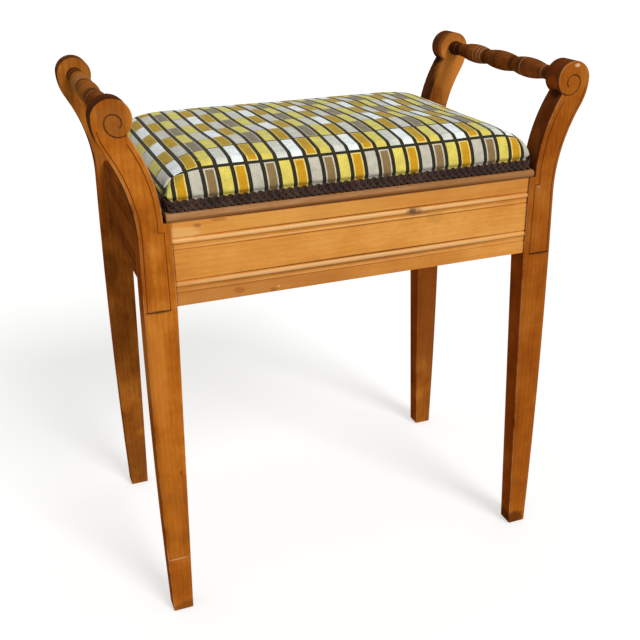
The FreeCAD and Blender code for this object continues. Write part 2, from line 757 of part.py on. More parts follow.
def make_rail(doc, name, sizes):
    """Turned handle rail between the right-hand scrolls."""
    body = new_body(doc, name)
    sketch = new_sketch(body, "YZ_Plane")
    draw(sketch, rail_outline(sizes))
    turned = body.newObject("PartDesign::Revolution", "Turned")
    turned.Profile = sketch
    turned.ReferenceAxis = (sketch, ["H_Axis"])
    turned.Angle = 360
    doc.recompute()
    before = turned.Shape.Volume
    sketch = new_sketch(body, "YZ_Plane")
    half = sizes.score_width / 2
    for place in SCORES:
        surface = rail_radius(sizes, place)
        draw(sketch, [
            Corner(as_size(place) - half, surface + sizes.score_depth),
            Corner(place, surface - sizes.score_depth),
            Corner(as_size(place) + half, surface + sizes.score_depth),
        ])
    scores = body.newObject("PartDesign::Groove", "Scores")
    scores.Profile = sketch
    scores.ReferenceAxis = (sketch, ["H_Axis"])
    scores.Angle = 360
    doc.recompute()
    if scores.Shape.Volume > before - 1e-3:
        raise ValueError("the score lines cut nothing")
    body.setExpression("Placement.Base.x", sizes.scroll_reach.text)
    body.setExpression("Placement.Base.z", sizes.scroll_height.text)
    return body


# Well

def make_bearer(doc, name, sizes, length, along_x, side):
    """Square bearer glued inside an apron; side is the way it lies from the middle."""
    body = new_body(doc, name)
    low = sizes.apron_bottom + sizes.bearer_rise
    if along_x:
        outer = sizes.long_face - sizes.apron_thickness
        plane = "YZ_Plane"
    else:
        outer = sizes.side_face - sizes.apron_thickness
        plane = "XZ_Plane"
    inner = outer - sizes.bearer_size
    sketch = new_sketch(body, plane)
    left, right = (inner, outer) if side > 0 else (-outer, -inner)
    draw_box(sketch, left, low, right, low + sizes.bearer_size)
    pad(body, sketch, length, both=True)
    return body


def make_floor(doc, name, sizes):
    """Thin board on the bearers, cut out round the legs."""
    body = new_body(doc, name)
    level = sizes.apron_bottom + sizes.bearer_rise + sizes.bearer_size
    long_x = sizes.side_face - sizes.apron_thickness - sizes.fit_gap
    short_x = sizes.joint_reach - sizes.fit_gap
    long_y = sizes.long_face - sizes.apron_thickness - sizes.fit_gap
    short_y = sizes.inner_face - sizes.fit_gap
    sketch = new_sketch(body, "XY_Plane", level)
    draw(sketch, [
        Corner(-short_x, -long_y),
        Corner(short_x, -long_y),
        Corner(short_x, -short_y),
        Corner(long_x, -short_y),
        Corner(long_x, short_y),
        Corner(short_x, short_y),
        Corner(short_x, long_y),
        Corner(-short_x, long_y),
        Corner(-short_x, short_y),
        Corner(-long_x, short_y),
        Corner(-long_x, -short_y),
        Corner(-short_x, -short_y),
    ])
    pad(body, sketch, sizes.floor_thickness)
    return body


# Hinges

def hinge_axis(sizes):
    """Y and Z of the lid's turning axis."""
    axis_y = sizes.overall_depth / 2 + sizes.hinge_out
    axis_z = sizes.shoulder_height + sizes.lid_gap / 2
    return axis_y, axis_z


def make_leaf(doc, name, sizes, middle, moving):
    """Hinge leaf: three knuckles on the apron's leaf, two between them on the lid's."""
    body = new_body(doc, name)
    axis_y, axis_z = hinge_axis(sizes)
    start = middle - sizes.hinge_length / 2
    pitch = (sizes.hinge_length + sizes.knuckle_gap) / 5
    knuckle = pitch - sizes.knuckle_gap
    if moving:
        low = sizes.lid_bottom
        first = start + pitch
        count = 2
    else:
        low = sizes.shoulder_height - sizes.leaf_thickness
        first = start
        count = 3
    high = low + sizes.leaf_thickness
    plate_edge = axis_y - sizes.knuckle_radius - sizes.hinge_clearance
    sketch = new_sketch(body, "YZ_Plane", start)
    draw_box(sketch, axis_y - sizes.leaf_width, low, plate_edge, high)
    pad(body, sketch, sizes.hinge_length)
    sketch = new_sketch(body, "YZ_Plane", first)
    root_edge = axis_y - (sizes.knuckle_radius + sizes.pin_radius) / 2
    draw_box(sketch, plate_edge - sizes.hinge_clearance, low, root_edge, high)
    web = pad(body, sketch, knuckle)
    sketch = new_sketch(body, "YZ_Plane", first)
    draw_circle(sketch, axis_y, axis_z, sizes.knuckle_radius)
    draw_circle(sketch, axis_y, axis_z, sizes.pin_radius + sizes.pin_play)
    barrel = pad(body, sketch, knuckle)
    doc.recompute()
    row = body.newObject("PartDesign::LinearPattern", "Knuckles")
    row.Originals = [web, barrel]
    row.Direction = (sketch, ["N_Axis"])
    row.setExpression("Length", (pitch * 2 * (count - 1)).text)
    row.Occurrences = count
    body.Tip = row
    return body


def make_pin(doc, name, sizes, middle):
    """Hinge pin, as long as the barrel."""
    body = new_body(doc, name)
    axis_y, axis_z = hinge_axis(sizes)
    sketch = new_sketch(body, "YZ_Plane", middle - sizes.hinge_length / 2)
    draw_circle(sketch, axis_y, axis_z, sizes.pin_radius)
    pad(body, sketch, sizes.hinge_length)
    return body


# Lid

def make_lid(doc, name, sizes):
    """Lid board with a half-round nosing along the front."""
    body = new_body(doc, name)
    half_depth = sizes.lid_half_depth
    low = sizes.lid_bottom
    high = sizes.lid_top
    flat = sizes.nosing_reach
    nosing_radius = bow(sizes.lid_thickness, flat)
    sketch = new_sketch(body, "YZ_Plane")
    draw(sketch, [
        Corner(flat - half_depth, low),
        Corner(half_depth, low),
        Corner(half_depth, high - sizes.lid_back_round, sizes.lid_back_round, LEFT),
        Corner(half_depth - sizes.lid_back_round, high),
        Corner(flat - half_depth, high, nosing_radius, LEFT),
    ])
    pad(body, sketch, sizes.lid_half_length * 2, both=True)

    def on_ends(point):
        return abs(abs(point.x) - sizes.lid_half_length.value) < 1e-4
    soften(body, "Fillet", sizes.lid_end_ease, on_ends)
    hinge_recesses(body, sizes, low, 1)
    return body


def make_gimp(doc, name, sizes):
    """Band of braid that covers the cushion's tacked edge."""
    body = new_body(doc, name)
    half_x = sizes.gimp_half_length
    half_y = sizes.gimp_half_depth
    sketch = new_sketch(body, "XY_Plane", sizes.soft_base)
    draw(sketch, rounded_box(half_x, half_y, sizes.gimp_corner))
    inner = sizes.gimp_corner - sizes.gimp_thickness
    draw(sketch, rounded_box(half_x - sizes.gimp_thickness, half_y - sizes.gimp_thickness, inner))
    pad(body, sketch, sizes.gimp_height)
    return body


def make_cushion(doc, name, sizes):
    """Stuffed seat: straight behind the braid, swelling above it, rounded edges and a low crown."""
    body = new_body(doc, name)
    base = sizes.soft_base
    inset = sizes.gimp_thickness + sizes.soft_gap
    half_x = sizes.gimp_half_length - inset
    half_y = sizes.gimp_half_depth - inset
    corner = sizes.gimp_corner - inset
    band = sizes.gimp_height + sizes.soft_gap
    sketch = new_sketch(body, "XY_Plane", base)
    draw(sketch, rounded_box(half_x, half_y, corner))
    pad(body, sketch, band)

    full_x = half_x + sizes.cushion_swell
    full_y = half_y + sizes.cushion_swell
    shoulder = base + band
    edge = shoulder + sizes.cushion_swell
    rows = [(shoulder, half_x, half_y, corner)]
    for angle in (0, 18, 36, 54, 72, 90):
        reach = as_size(1) - cosine(angle)
        level = edge + sizes.cushion_side * sine(angle)
        x = full_x - sizes.cushion_round_ends * reach
        y = full_y - sizes.cushion_round_long * reach
        rows.append((level, x, y, corner + (sizes.cushion_corner - corner) * sine(angle)))
    for share in (0.8, 0.6, 0.4, 0.2):
        level = edge + sizes.cushion_side + sizes.cushion_crown * (1 - share * share)
        x = (full_x - sizes.cushion_round_ends) * share
        y = (full_y - sizes.cushion_round_long) * share
        rows.append((level, x, y, sizes.cushion_corner * share))
    sketches = []
    for level, x, y, radius in rows:
        sketch = new_sketch(body, "XY_Plane", level)
        draw(sketch, rounded_box(x, y, radius))
        sketches.append(sketch)
    loft = body.newObject("PartDesign::AdditiveLoft", "Crown")
    loft.Profile = sketches[0]
    loft.Sections = sketches[1:]
    loft.Ruled = True
    return body


# Assembly

def build(doc):
    """Make every sub-part and return them."""
    sizes = make_sheet(doc)
    parts = []

    front_leg = make_leg(doc, "leg_front_right", sizes, -1)
    carve_volute(front_leg, sizes)
    cut_strings(front_leg, sizes)
    back_leg = make_leg(doc, "leg_back_right", sizes, 1)
    parts += [front_leg, back_leg]
    parts.append(mirror_across(doc, "leg_front_left", front_leg))
    parts.append(mirror_across(doc, "leg_back_left", back_leg))

    between_long = sizes.joint_reach * 2
    between_short = sizes.inner_face * 2
    face = sizes.long_face
    front = make_apron(doc, "apron_front", sizes, "YZ_Plane", -face, between_long, sizes.long_tenon)
    back = make_apron(doc, "apron_back", sizes, "YZ_Plane", face, between_long, sizes.long_tenon)
    hinge_recesses(back, sizes, sizes.shoulder_height, -1)
    side = make_apron(doc, "apron_right", sizes, "XZ_Plane", sizes.side_face, between_short, sizes.short_tenon)
    parts += [front, back, side]
    parts.append(mirror_across(doc, "apron_left", side))

    rail = make_rail(doc, "handle_rail_right", sizes)
    parts.append(rail)
    parts.append(mirror_across(doc, "handle_rail_left", rail))

    long_bearer = (sizes.joint_reach - sizes.fit_gap) * 2
    bearer_line = sizes.long_face - sizes.apron_thickness - sizes.bearer_size
    short_bearer = (bearer_line - sizes.fit_gap) * 2
    parts.append(make_bearer(doc, "bearer_front", sizes, long_bearer, True, -1))
    parts.append(make_bearer(doc, "bearer_back", sizes, long_bearer, True, 1))
    parts.append(make_bearer(doc, "bearer_right", sizes, short_bearer, False, 1))
    parts.append(make_bearer(doc, "bearer_left", sizes, short_bearer, False, -1))
    parts.append(make_floor(doc, "well_floor", sizes))

    for side_name, middle in (("right", sizes.hinge_place), ("left", -sizes.hinge_place)):
        parts.append(make_leaf(doc, "hinge_leaf_fixed_%s" % side_name, sizes, middle, False))
        parts.append(make_leaf(doc, "hinge_leaf_lid_%s" % side_name, sizes, middle, True))
        parts.append(make_pin(doc, "hinge_pin_%s" % side_name, sizes, middle))

    parts.append(make_lid(doc, "lid_board", sizes))
    parts.append(make_gimp(doc, "gimp_braid", sizes))
    parts.append(make_cushion(doc, "seat_cushion", sizes))
    doc.recompute()
    return parts


def check(doc, parts):
    """Stop if any object failed or any sub-part has no sound solid."""
    for item in doc.Objects:
        if "Invalid" in item.State or "Error" in item.State:
            raise ValueError("%s (%s) failed: %s" % (item.Name, item.Label, item.State))
    for part in parts:
        if part.Shape.isNull() or not part.Shape.isValid() or not part.Shape.Solids:
            raise ValueError("%s has no sound solid" % part.Label)


def export(parts):
    """Write each sub-part under its own name."""
    os.makedirs("parts", exist_ok=True)
    for part in parts:
        part.Shape.exportStep(os.path.join("parts", part.Label + ".step"))
        box = part.Shape.BoundBox
        print("%-24s %d solid(s)  x %.1f..%.1f  y %.1f..%.1f  z %.1f..%.1f" % (
            part.Label, len(part.Shape.Solids), box.XMin, box.XMax, box.YMin, box.YMax, box.ZMin, box.ZMax))


document = FreeCAD.newDocument("piano_stool")
sub_parts = build(document)
check(document, sub_parts)
export(sub_parts)
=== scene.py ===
"""Piano stool: scrolled legs, turned handle rails, music well and a hinged upholstered lid."""
import math

import bmesh
import bpy
from mathutils import Matrix, Vector, noise


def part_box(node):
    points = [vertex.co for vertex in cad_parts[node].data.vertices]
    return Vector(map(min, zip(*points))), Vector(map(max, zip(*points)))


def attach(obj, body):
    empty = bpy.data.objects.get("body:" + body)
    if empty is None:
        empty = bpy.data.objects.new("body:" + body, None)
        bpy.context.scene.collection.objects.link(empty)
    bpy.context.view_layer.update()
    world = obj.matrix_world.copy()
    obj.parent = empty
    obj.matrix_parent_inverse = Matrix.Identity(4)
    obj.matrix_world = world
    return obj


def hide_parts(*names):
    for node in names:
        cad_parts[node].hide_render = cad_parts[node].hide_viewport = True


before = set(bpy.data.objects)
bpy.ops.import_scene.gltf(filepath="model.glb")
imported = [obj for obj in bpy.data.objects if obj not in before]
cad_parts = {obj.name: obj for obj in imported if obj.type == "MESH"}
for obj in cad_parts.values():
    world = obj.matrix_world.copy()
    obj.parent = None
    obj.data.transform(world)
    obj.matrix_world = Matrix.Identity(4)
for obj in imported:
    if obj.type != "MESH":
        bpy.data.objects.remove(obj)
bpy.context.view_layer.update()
scene = bpy.context.scene
MM = 0.001


# Shader helpers

NORMAL, PLACE = 1, 3            # outputs of Texture Coordinate
CAMERA_RAY, GLOSSY_RAY, THROUGH_RAY = 0, 3, 6   # outputs of Light Path
BAND = 0.314                    # a wave texture's Scale times its bands' distance
TONES_AT = (0.22, 0.5, 0.78)    # figure at which wood is dark, middling and light

# A Mix lays its input 7 over its input 6 where its input 0 is 1. A Map Range changes softly with
# its input 0, from 0 where that equals its input 1 to 1 where it equals its input 2.
OVER = {"data_type": "RGBA", "out": 2}
SOFT = {"interpolation_type": "SMOOTHSTEP"}


def linear(colour):
    """Linear RGBA of an sRGB hex colour."""
    parts = [int(colour[place:place + 2], 16) / 255 for place in (1, 3, 5)]
    return [p / 12.92 if p <= 0.04045 else ((p + 0.055) / 1.055) ** 2.4 for p in parts] + [1.0]


def add(tree, kind, inputs, out=0, stops=None, **settings):
    """Adds a shader node, sets or links its inputs, and gives back one of its outputs."""
    made = tree.nodes.new("ShaderNode" + kind)
    for name, value in settings.items():
        setattr(made, name, value)
    for name, value in inputs.items():
        if isinstance(value, bpy.types.NodeSocket):
            tree.links.new(value, made.inputs[name])
        else:
            made.inputs[name].default_value = value
    if stops:
        ramp = made.color_ramp
        ramp.elements[0].position = stops[0][0]
        ramp.elements[1].position = stops[-1][0]
        for place, _ in stops[1:-1]:
            ramp.elements.new(place)
        for element, (_, colour) in zip(ramp.elements, stops):
            element.color = linear(colour)
    return made.outputs[out] if len(made.outputs) else None


def start_material(name):
    """A new material and its empty node tree."""
    made = bpy.data.materials.new(name)
    made.use_nodes = True
    made.node_tree.nodes.clear()
    return made, made.node_tree


def surface(tree, inputs):
    """Ends a material with its one surface shader."""
    shader = add(tree, "BsdfPrincipled", inputs)
    add(tree, "OutputMaterial", {"Surface": shader})


def reading(tree, output, axis):
    """How far the surface's place lies, or its normal points, along X, Y or Z."""
    whole = add(tree, "TexCoord", {}, out=output)
    return add(tree, "SeparateXYZ", {0: whole}, out="XYZ".index(axis))


def weigh(tree, start, parts):
    """Patterns times their weights. The sum is `start` where every pattern is at its middle."""
    total = start - sum(weight for _, weight in parts) / 2
    for pattern, weight in parts:
        total = add(tree, "Math", {0: pattern, 1: weight, 2: total}, operation="MULTIPLY_ADD")
    return total


def patch(tree, place, size):
    """1 in the middle of a worn or stained place, 0 outside it, with a ragged edge.
    The place and its half sizes are in mm."""
    ragged, whole = 0.35, 0.55
    spot = add(tree, "TexCoord", {}, out=PLACE)
    scale = [1 / (s * MM) for s in size]
    shift = [-p * MM * s for p, s in zip(place, scale)]
    local = add(tree, "Mapping", {"Vector": spot, "Scale": scale, "Location": shift})
    reach = add(tree, "VectorMath", {0: local}, out=1, operation="LENGTH")
    rough = add(tree, "TexNoise", {"Vector": local, "Scale": 1.6, "Detail": 4.0, "Roughness": 0.7})
    edge = add(tree, "Math", {0: rough, 1: ragged * 2, 2: reach}, operation="MULTIPLY_ADD")
    return add(tree, "MapRange", {0: edge, 1: 1.0 + ragged, 2: whole + ragged}, **SOFT)


def lay(tree, colour, share, strength, tone):
    """A tone laid over a colour where share is 1, thinly where its strength is low."""
    share = add(tree, "Math", {0: share, 1: strength}, operation="MULTIPLY")
    return add(tree, "Mix", {0: share, 6: colour, 7: linear(tone)}, **OVER)


def mark(tree, colour, marks):
    """Stains, scratches and rubbed places over a colour: place, half sizes, tone and strength."""
    for place, size, tone, strength in marks:
        colour = lay(tree, colour, patch(tree, place, size), strength, tone)
    return colour


def grain(tree, along, across, line, shift):
    """Figure of a sawn board, drawn out along its grain: broad figure, growth lines about
    `line` mm apart, 0.7 mm fibres, open pores 0.45 x 9 mm, and cloudy stain about 45 mm wide."""
    spot = add(tree, "TexCoord", {}, out=PLACE)

    def drawn(share):
        """Places squeezed to this share along the grain."""
        scale = [share if axis == along else 1.0 for axis in "XYZ"]
        return add(tree, "Mapping", {"Vector": spot, "Scale": scale, "Location": [shift] * 3})

    board = drawn(0.1)
    broad = add(tree, "TexNoise", {"Vector": board, "Scale": 30.0, "Detail": 3.0})
    rings = add(tree, "TexWave", {"Vector": board, "Scale": BAND / (line * MM), "Distortion": 7.0,
                                  "Detail": 3.0, "Detail Scale": 0.55},
                out=1, bands_direction=across)
    fibres = add(tree, "TexNoise", {"Vector": drawn(0.03), "Scale": 1400.0, "Detail": 2.0})
    dots = add(tree, "TexNoise", {"Vector": drawn(0.05), "Scale": 2200.0, "Detail": 0.0})
    pores = add(tree, "MapRange", {0: dots, 1: 0.60, 2: 0.68}, **SOFT)
    clouds = add(tree, "TexNoise", {"Vector": spot, "Scale": 22.0, "Detail": 4.0, "Roughness": 0.6})
    return broad, rings, fibres, pores, clouds


def polish(tree, colour, fibres, pores, clouds, gloss, level):
    """Shellac rubbed over open-grained wood: a satin film that sinks 0.15 mm into the pores."""
    sheen = weigh(tree, gloss, [(clouds, 0.18), (fibres, 0.10)])
    height = add(tree, "Math", {0: pores, 1: -0.8, 2: fibres}, operation="MULTIPLY_ADD")
    bumps = add(tree, "Bump", {"Strength": 0.2, "Distance": 0.15 * MM, "Height": height})
    surface(tree, {"Base Color": colour, "Roughness": sheen, "Normal": bumps,
                   "Specular IOR Level": level})


# Woods

def panel_wood(name, along, across, tones, line, shift, gloss, level, marks=(), uneven=0.5):
    """Stained board whose faces all have one tone, with darker pores."""
    made, tree = start_material(name)
    broad, rings, fibres, pores, clouds = grain(tree, along, across, line, shift)
    value = weigh(tree, 0.5, [(broad, 0.55), (rings, 0.05), (fibres, 0.24), (clouds, uneven)])
    colour = add(tree, "ValToRGB", {"Fac": value}, stops=list(zip(TONES_AT, tones)))
    colour = lay(tree, colour, pores, 0.30, tones[0])
    colour = mark(tree, colour, marks)
    polish(tree, colour, fibres, pores, clouds, gloss, level)
    return made


EDGE_TONES = ("#5b270a", "#94460f", "#b66324")         # the leg boards' sawn edges, dark partly from stain and partly as painted shade
HIGH_EDGE_TONES = ("#2f1a0d", "#58331a", "#8a4f24")    # the same above the seat
HIGH_EDGES = (400 * MM, 530 * MM)                      # levels over which these change
WEAR_AND_HIGHLIGHT = "#dca067"                                     # bare beech on the arrises, and a painted highlight there
ARRIS = (-152.9 * MM, -153.9 * MM)                     # depths over which a front arris is rubbed pale and painted with a highlight
CUT = (-154.85 * MM, -150.0 * MM)                      # depths between which a face is cut
CLOSING = (398.4 * MM, 397.8 * MM)                     # level of the cut that ends the pattern


def leg_wood(name, face_tones, shift, front, marks):
    """Beech leg boards under shellac: golden on their broad faces, and dark on their sawn edges,
    partly where the stain sank in and partly as painted shade on these side faces."""
    made, tree = start_material(name)
    broad, rings, fibres, pores, clouds = grain(tree, "Z", "X", 6.0, shift)
    value = weigh(tree, 0.5, [(broad, 0.7), (rings, 0.06), (fibres, 0.34), (clouds, 0.9)])
    face, edge, high_edge = [
        add(tree, "ValToRGB", {"Fac": value}, stops=list(zip(TONES_AT, tones)))
        for tones in (face_tones, EDGE_TONES, HIGH_EDGE_TONES)]
    level = reading(tree, PLACE, "Z")
    depth = reading(tree, PLACE, "Y")
    forward = reading(tree, NORMAL, "Y")
    flat = add(tree, "Math", {0: forward}, operation="ABSOLUTE")
    high = add(tree, "MapRange", {0: level, 1: HIGH_EDGES[0], 2: HIGH_EDGES[1]}, **SOFT)
    # Side faces take the dark edge tones: partly stain, partly painted shade.
    sides = add(tree, "Mix", {0: high, 6: edge, 7: high_edge}, **OVER)
    broadside = add(tree, "MapRange", {0: flat, 1: 0.55, 2: 0.80}, **SOFT)
    colour = add(tree, "Mix", {0: broadside, 6: sides, 7: face}, **OVER)

    # Hands and feet rub the stain off the rounded arrises, which face neither way squarely, and the
    # pale laid there is also a painted highlight.
    off_side = add(tree, "MapRange", {0: flat, 1: 0.30, 2: 0.62}, **SOFT)
    off_face = add(tree, "MapRange", {0: flat, 1: 0.97, 2: 0.80}, **SOFT)
    arris_wear_and_highlight = add(tree, "Math", {0: off_side, 1: off_face}, operation="MULTIPLY")
    if front:
        near = add(tree, "MapRange", {0: depth, 1: ARRIS[0], 2: ARRIS[1]}, **SOFT)
        beside = add(tree, "MapRange", {0: flat, 1: 0.95, 2: 0.80}, **SOFT)
        beside = add(tree, "Math", {0: near, 1: beside}, operation="MULTIPLY")
        arris_wear_and_highlight = add(tree, "Math", {0: arris_wear_and_highlight, 1: beside}, operation="MAXIMUM")
    worn = add(tree, "MapRange", {0: clouds, 1: 0.36, 2: 0.56}, **SOFT)
    arris_wear_and_highlight = add(tree, "Math", {0: arris_wear_and_highlight, 1: worn}, operation="MULTIPLY")
    colour = lay(tree, colour, arris_wear_and_highlight, 0.8, WEAR_AND_HIGHLIGHT)
    colour = lay(tree, colour, pores, 0.32, face_tones[0])
    colour = mark(tree, colour, marks)

    if front:
        # Old wax and dirt fill the lines and volutes cut into the front faces, and their dark fill
        # is also painted shade in these cuts.
        filled = add(tree, "Math", {0: depth, 1: CUT[0]}, operation="GREATER_THAN")
        ahead = add(tree, "Math", {0: depth, 1: CUT[1]}, operation="LESS_THAN")
        square = add(tree, "MapRange", {0: flat, 1: 0.975, 2: 0.995}, **SOFT)
        to_front = add(tree, "Math", {0: forward, 1: -0.6}, operation="LESS_THAN")
        for test in (ahead, square, to_front):
            filled = add(tree, "Math", {0: filled, 1: test}, operation="MULTIPLY")
        faded = weigh(tree, 0.62, [(clouds, 0.9), (fibres, 0.3)])
        # The line that closes the pattern, across the grain, is filled darker and fuller: more
        # dirt, and more painted shade.
        closing = add(tree, "MapRange", {0: level, 1: CLOSING[0], 2: CLOSING[1]}, **SOFT)
        faded = add(tree, "Math", {0: closing, 1: 0.3, 2: faded}, operation="MULTIPLY_ADD")
        filled = add(tree, "Math", {0: filled, 1: faded}, operation="MULTIPLY", use_clamp=True)
        darkening = add(tree, "Mix", {0: closing, 6: linear("#563012"), 7: linear("#241205")}, **OVER)
        colour = add(tree, "Mix", {0: filled, 6: colour, 7: darkening}, **OVER)
    polish(tree, colour, fibres, pores, clouds, gloss=0.55, level=0.0)
    return made


# Along the rails, in mm
PALE_SCORES = (55.0, 47.0, 40.0, -58.0, -99.0)   # rubbed bright
DARK_SCORES = (1.5, -53.0)                       # filled with old wax
SCORE = 0.75                                     # half the width of a score
NECK = 32.5                                      # a neck between two swellings
NECK_DARKENING = (8.0, 1.5)                           # from a neck, where the darkening starts and is full
END_DARKENING = (92.0, 108.0)                         # from the middle, the same at the scrolls


def rail_wood(name):
    """Turned beech under dark stain, polished by hands and pale where its rings are rubbed."""
    made, tree = start_material(name)
    broad, rings, fibres, pores, clouds = grain(tree, "Y", "Z", 3.0, 0.31)
    value = weigh(tree, 0.48, [(broad, 0.7), (rings, 0.04), (fibres, 0.24), (clouds, 1.0)])
    colour = add(tree, "ValToRGB", {"Fac": value},
                 stops=[(0.2, "#4a240e"), (0.5, "#84491d"), (0.8, "#b87032")])
    endways = add(tree, "Math", {0: reading(tree, NORMAL, "Y")}, operation="ABSOLUTE")
    worn = add(tree, "MapRange", {0: endways, 1: 0.55, 2: 0.9}, **SOFT)
    colour = lay(tree, colour, worn, 0.5, "#b08050")
    # The left rail is paler over its middle: painted light on that rail.
    colour = mark(tree, colour, [((-258.2, 25, 605), (40, 75, 40), "#ac6a2c", 0.5)])

    # The rail is darker in its necks and towards the scrolls.
    along = reading(tree, PLACE, "Y")
    middle = add(tree, "Math", {0: along}, operation="ABSOLUTE")
    neck = add(tree, "Math", {0: middle, 1: NECK * MM}, operation="SUBTRACT")
    neck = add(tree, "Math", {0: neck}, operation="ABSOLUTE")
    in_neck, at_end = [
        add(tree, "MapRange", {0: distance, 1: start * MM, 2: full * MM}, **SOFT)
        for distance, (start, full) in ((neck, NECK_DARKENING), (middle, END_DARKENING))]
    darkening = add(tree, "Math", {0: in_neck, 1: at_end}, operation="MAXIMUM")
    colour = lay(tree, colour, darkening, 0.62, "#2c1408")
    for places, tone, strength in ((PALE_SCORES, "#b09674", 0.62), (DARK_SCORES, "#1c0d06", 0.85)):
        for place in places:
            line = add(tree, "Math", {0: along, 1: place * MM, 2: SCORE * MM}, operation="COMPARE")
            colour = lay(tree, colour, line, strength, tone)
    polish(tree, colour, fibres, pores, clouds, gloss=0.45, level=0.0)
    return made


# Marks are a place and its half sizes in mm, a tone, and its strength.

# The front of the well: clear golden wood with a satin gleam, and a knot.
front_panel = panel_wood(
    "walnut_panel_shellacked", "X", "Z", ("#b96c1e", "#d98f38", "#eba954"), 6.0, 0.0,
    gloss=0.40, level=0.30, marks=[
        # lower strip, then upper strip
        ((-150, -153, 404), (190, 30, 18.0), "#96501a", 0.45),
        ((35, -153, 404), (150, 30, 17.0), "#ae661e", 0.38),
        ((-55, -153, 483), (130, 30, 13.0), "#e4ac54", 0.3),
        ((128, -153, 483), (140, 30, 13.0), "#bc7628", 0.38),
        # shadow lines against the legs
        ((-210.2, -153, 446), (1.4, 30, 75), "#5a2c0c", 0.7),
        ((210.2, -153, 446), (1.4, 30, 75), "#5a2c0c", 0.7),
        # small stains and a chip
        ((-183, -153, 485.2), (5, 30, 2.8), "#9a5420", 0.65),
        ((-160, -153, 488.8), (11, 30, 2.2), "#a05a24", 0.55),
        ((-142, -153, 407), (7, 30, 4.6), "#8a4c1c", 0.45),
        ((-104, -153, 401.8), (5, 30, 3.2), "#7c481c", 0.5),
        ((-98, -153, 405), (1.3, 30, 1.1), "#ecd2a0", 0.8),
        # painted shadow line under the lid, and a pale corner
        ((0, -153, 491.6), (260, 30, 1.5), "#6a3208", 0.75),
        ((-206, -153, 478), (34, 30, 10.0), "#efbb74", 0.5),
        # painted shade in the quirks beside the reeds, and painted highlights on their tops
        ((0, -153, 474.4), (260, 6, 1.1), "#8a4c12", 0.75),
        ((0, -153, 466.3), (260, 6, 0.9), "#9a5c1c", 0.6),
        ((0, -153, 427.3), (260, 6, 1.3), "#7c420e", 0.85),
        ((0, -153, 419.2), (260, 6, 1.1), "#7c4a14", 0.75),
        ((0, -154, 470.2), (260, 6, 3.2), "#efc486", 0.6),
        ((0, -154, 423.0), (260, 6, 3.2), "#e4ba82", 0.6),
        # painted highlight and painted shade lines of a small step under the upper reed, and a
        # painted highlight under the lower reed
        ((0, -153, 463.4), (260, 6, 1.0), "#f0bc78", 0.6),
        ((0, -153, 461.6), (260, 6, 0.8), "#9a5e24", 0.6),
        ((0, -153, 415.6), (260, 6, 1.0), "#e0aa6a", 0.5),
        # knot
        ((63, -153, 469), (13, 30, 6.0), "#86582a", 0.6),
        ((61, -153, 470.5), (5.5, 30, 3.4), "#4a3018", 0.75),
        ((72, -153, 466), (16, 30, 2.2), "#7c5228", 0.45),
        ((90, -153, 460), (14, 30, 12.0), "#a86f2e", 0.3),
    ])

# The well's ends and back: heavy dark stain, dulled.
side_panel = panel_wood(
    "walnut_side_stained_dark", "Y", "Z", ("#49220b", "#804116", "#a75e24"), 6.0, 0.17,
    gloss=0.62, level=0.0)

# Inside the well: bare sawn pine, pale and matt.
inner_wood = panel_wood(
    "pine_unfinished", "X", "Y", ("#a98356", "#c49c6c", "#d8b686"), 7.0, 0.4,
    gloss=0.7, level=0.2, uneven=0.15)

# The lid's board: polish worn through on the nosing, and a painted shadow line, darker towards its
# lower edge, where it meets the well.
lid_wood = panel_wood(
    "walnut_nosing_worn", "X", "Z", ("#6a3d1c", "#9c6a3a", "#c89a70"), 4.0, 0.55,
    gloss=0.5, level=0.12, uneven=0.15, marks=[
        # painted shadow line along the nosing's lower edge, then a lighter painted shade above it
        ((0, -157, 491.2), (260, 6, 3.6), "#5c2a0a", 0.85),
        ((0, -157, 494.4), (260, 6, 2.4), "#8a5220", 0.5),
    ])

front_leg = leg_wood(
    "beech_leg_front_shellacked", ("#8a4510", "#b5661c", "#cf8634"), 0.0, True, [
        # the whole right leg is darker
        ((255, -155, 330), (80, 60, 460), "#7c3810", 0.42),
        # scrolls: their rims, reddish partly as a painted sheen; the dull left face; on the right,
        # the neck with a painted orange sheen and near-black below it
        ((258, -141, 608), (30, 12, 18), "#743618", 0.6),
        ((-258, -141, 608), (30, 12, 18), "#552814", 0.6),
        ((219, -138, 526), (18, 14, 30), "#84481c", 0.6),
        ((-257, -155, 599), (20, 12, 20), "#84542a", 0.45),
        ((240, -141, 596), (8, 12, 9), "#a04a14", 0.6),
        ((247, -141, 583), (12, 12, 7), "#1c0d06", 0.7),
        # chip in the right scroll, nail below it, dark right foot
        ((260.5, -155, 615.2), (4.4, 30, 2.6), "#e2b988", 0.85),
        ((223.5, -155, 479.4), (1.7, 30, 1.5), "#c09c84", 0.7),
        ((231, -155, 8), (16, 60, 14), "#4a230e", 0.7),
        # shadow of the lines that close the pattern
        ((-231.5, -155, 396.9), (18.5, 60, 2.4), "#6a441c", 0.75),
        ((231.5, -155, 396.9), (18.5, 60, 2.2), "#54300f", 0.7),
        # left leg: foot, scratch, small knot
        ((-222, -155, 34), (34, 60, 56), "#8a4412", 0.4),
        ((-220, -155, 3), (34, 60, 12), "#6a3210", 0.6),
        ((-235, -155, 77.4), (14, 60, 1.3), "#cc9c74", 0.8),
        ((-223, -155, 195.5), (2.2, 60, 4.5), "#7a3a12", 0.7),
        # left leg: dark outer edge, partly stain and partly painted shade on its rounded arris;
        # paler middle
        ((-248, -155, 330), (6, 60, 90), "#904812", 0.6),
        ((-246, -155, 200), (5, 60, 90), "#8e4a12", 0.5),
        ((-241, -155, 442), (9, 60, 55), "#8e4410", 0.6),
        ((-240, -155, 330), (16, 60, 80), "#cf8436", 0.4),
        ((-236, -155, 170), (16, 60, 120), "#c47828", 0.3),
    ])

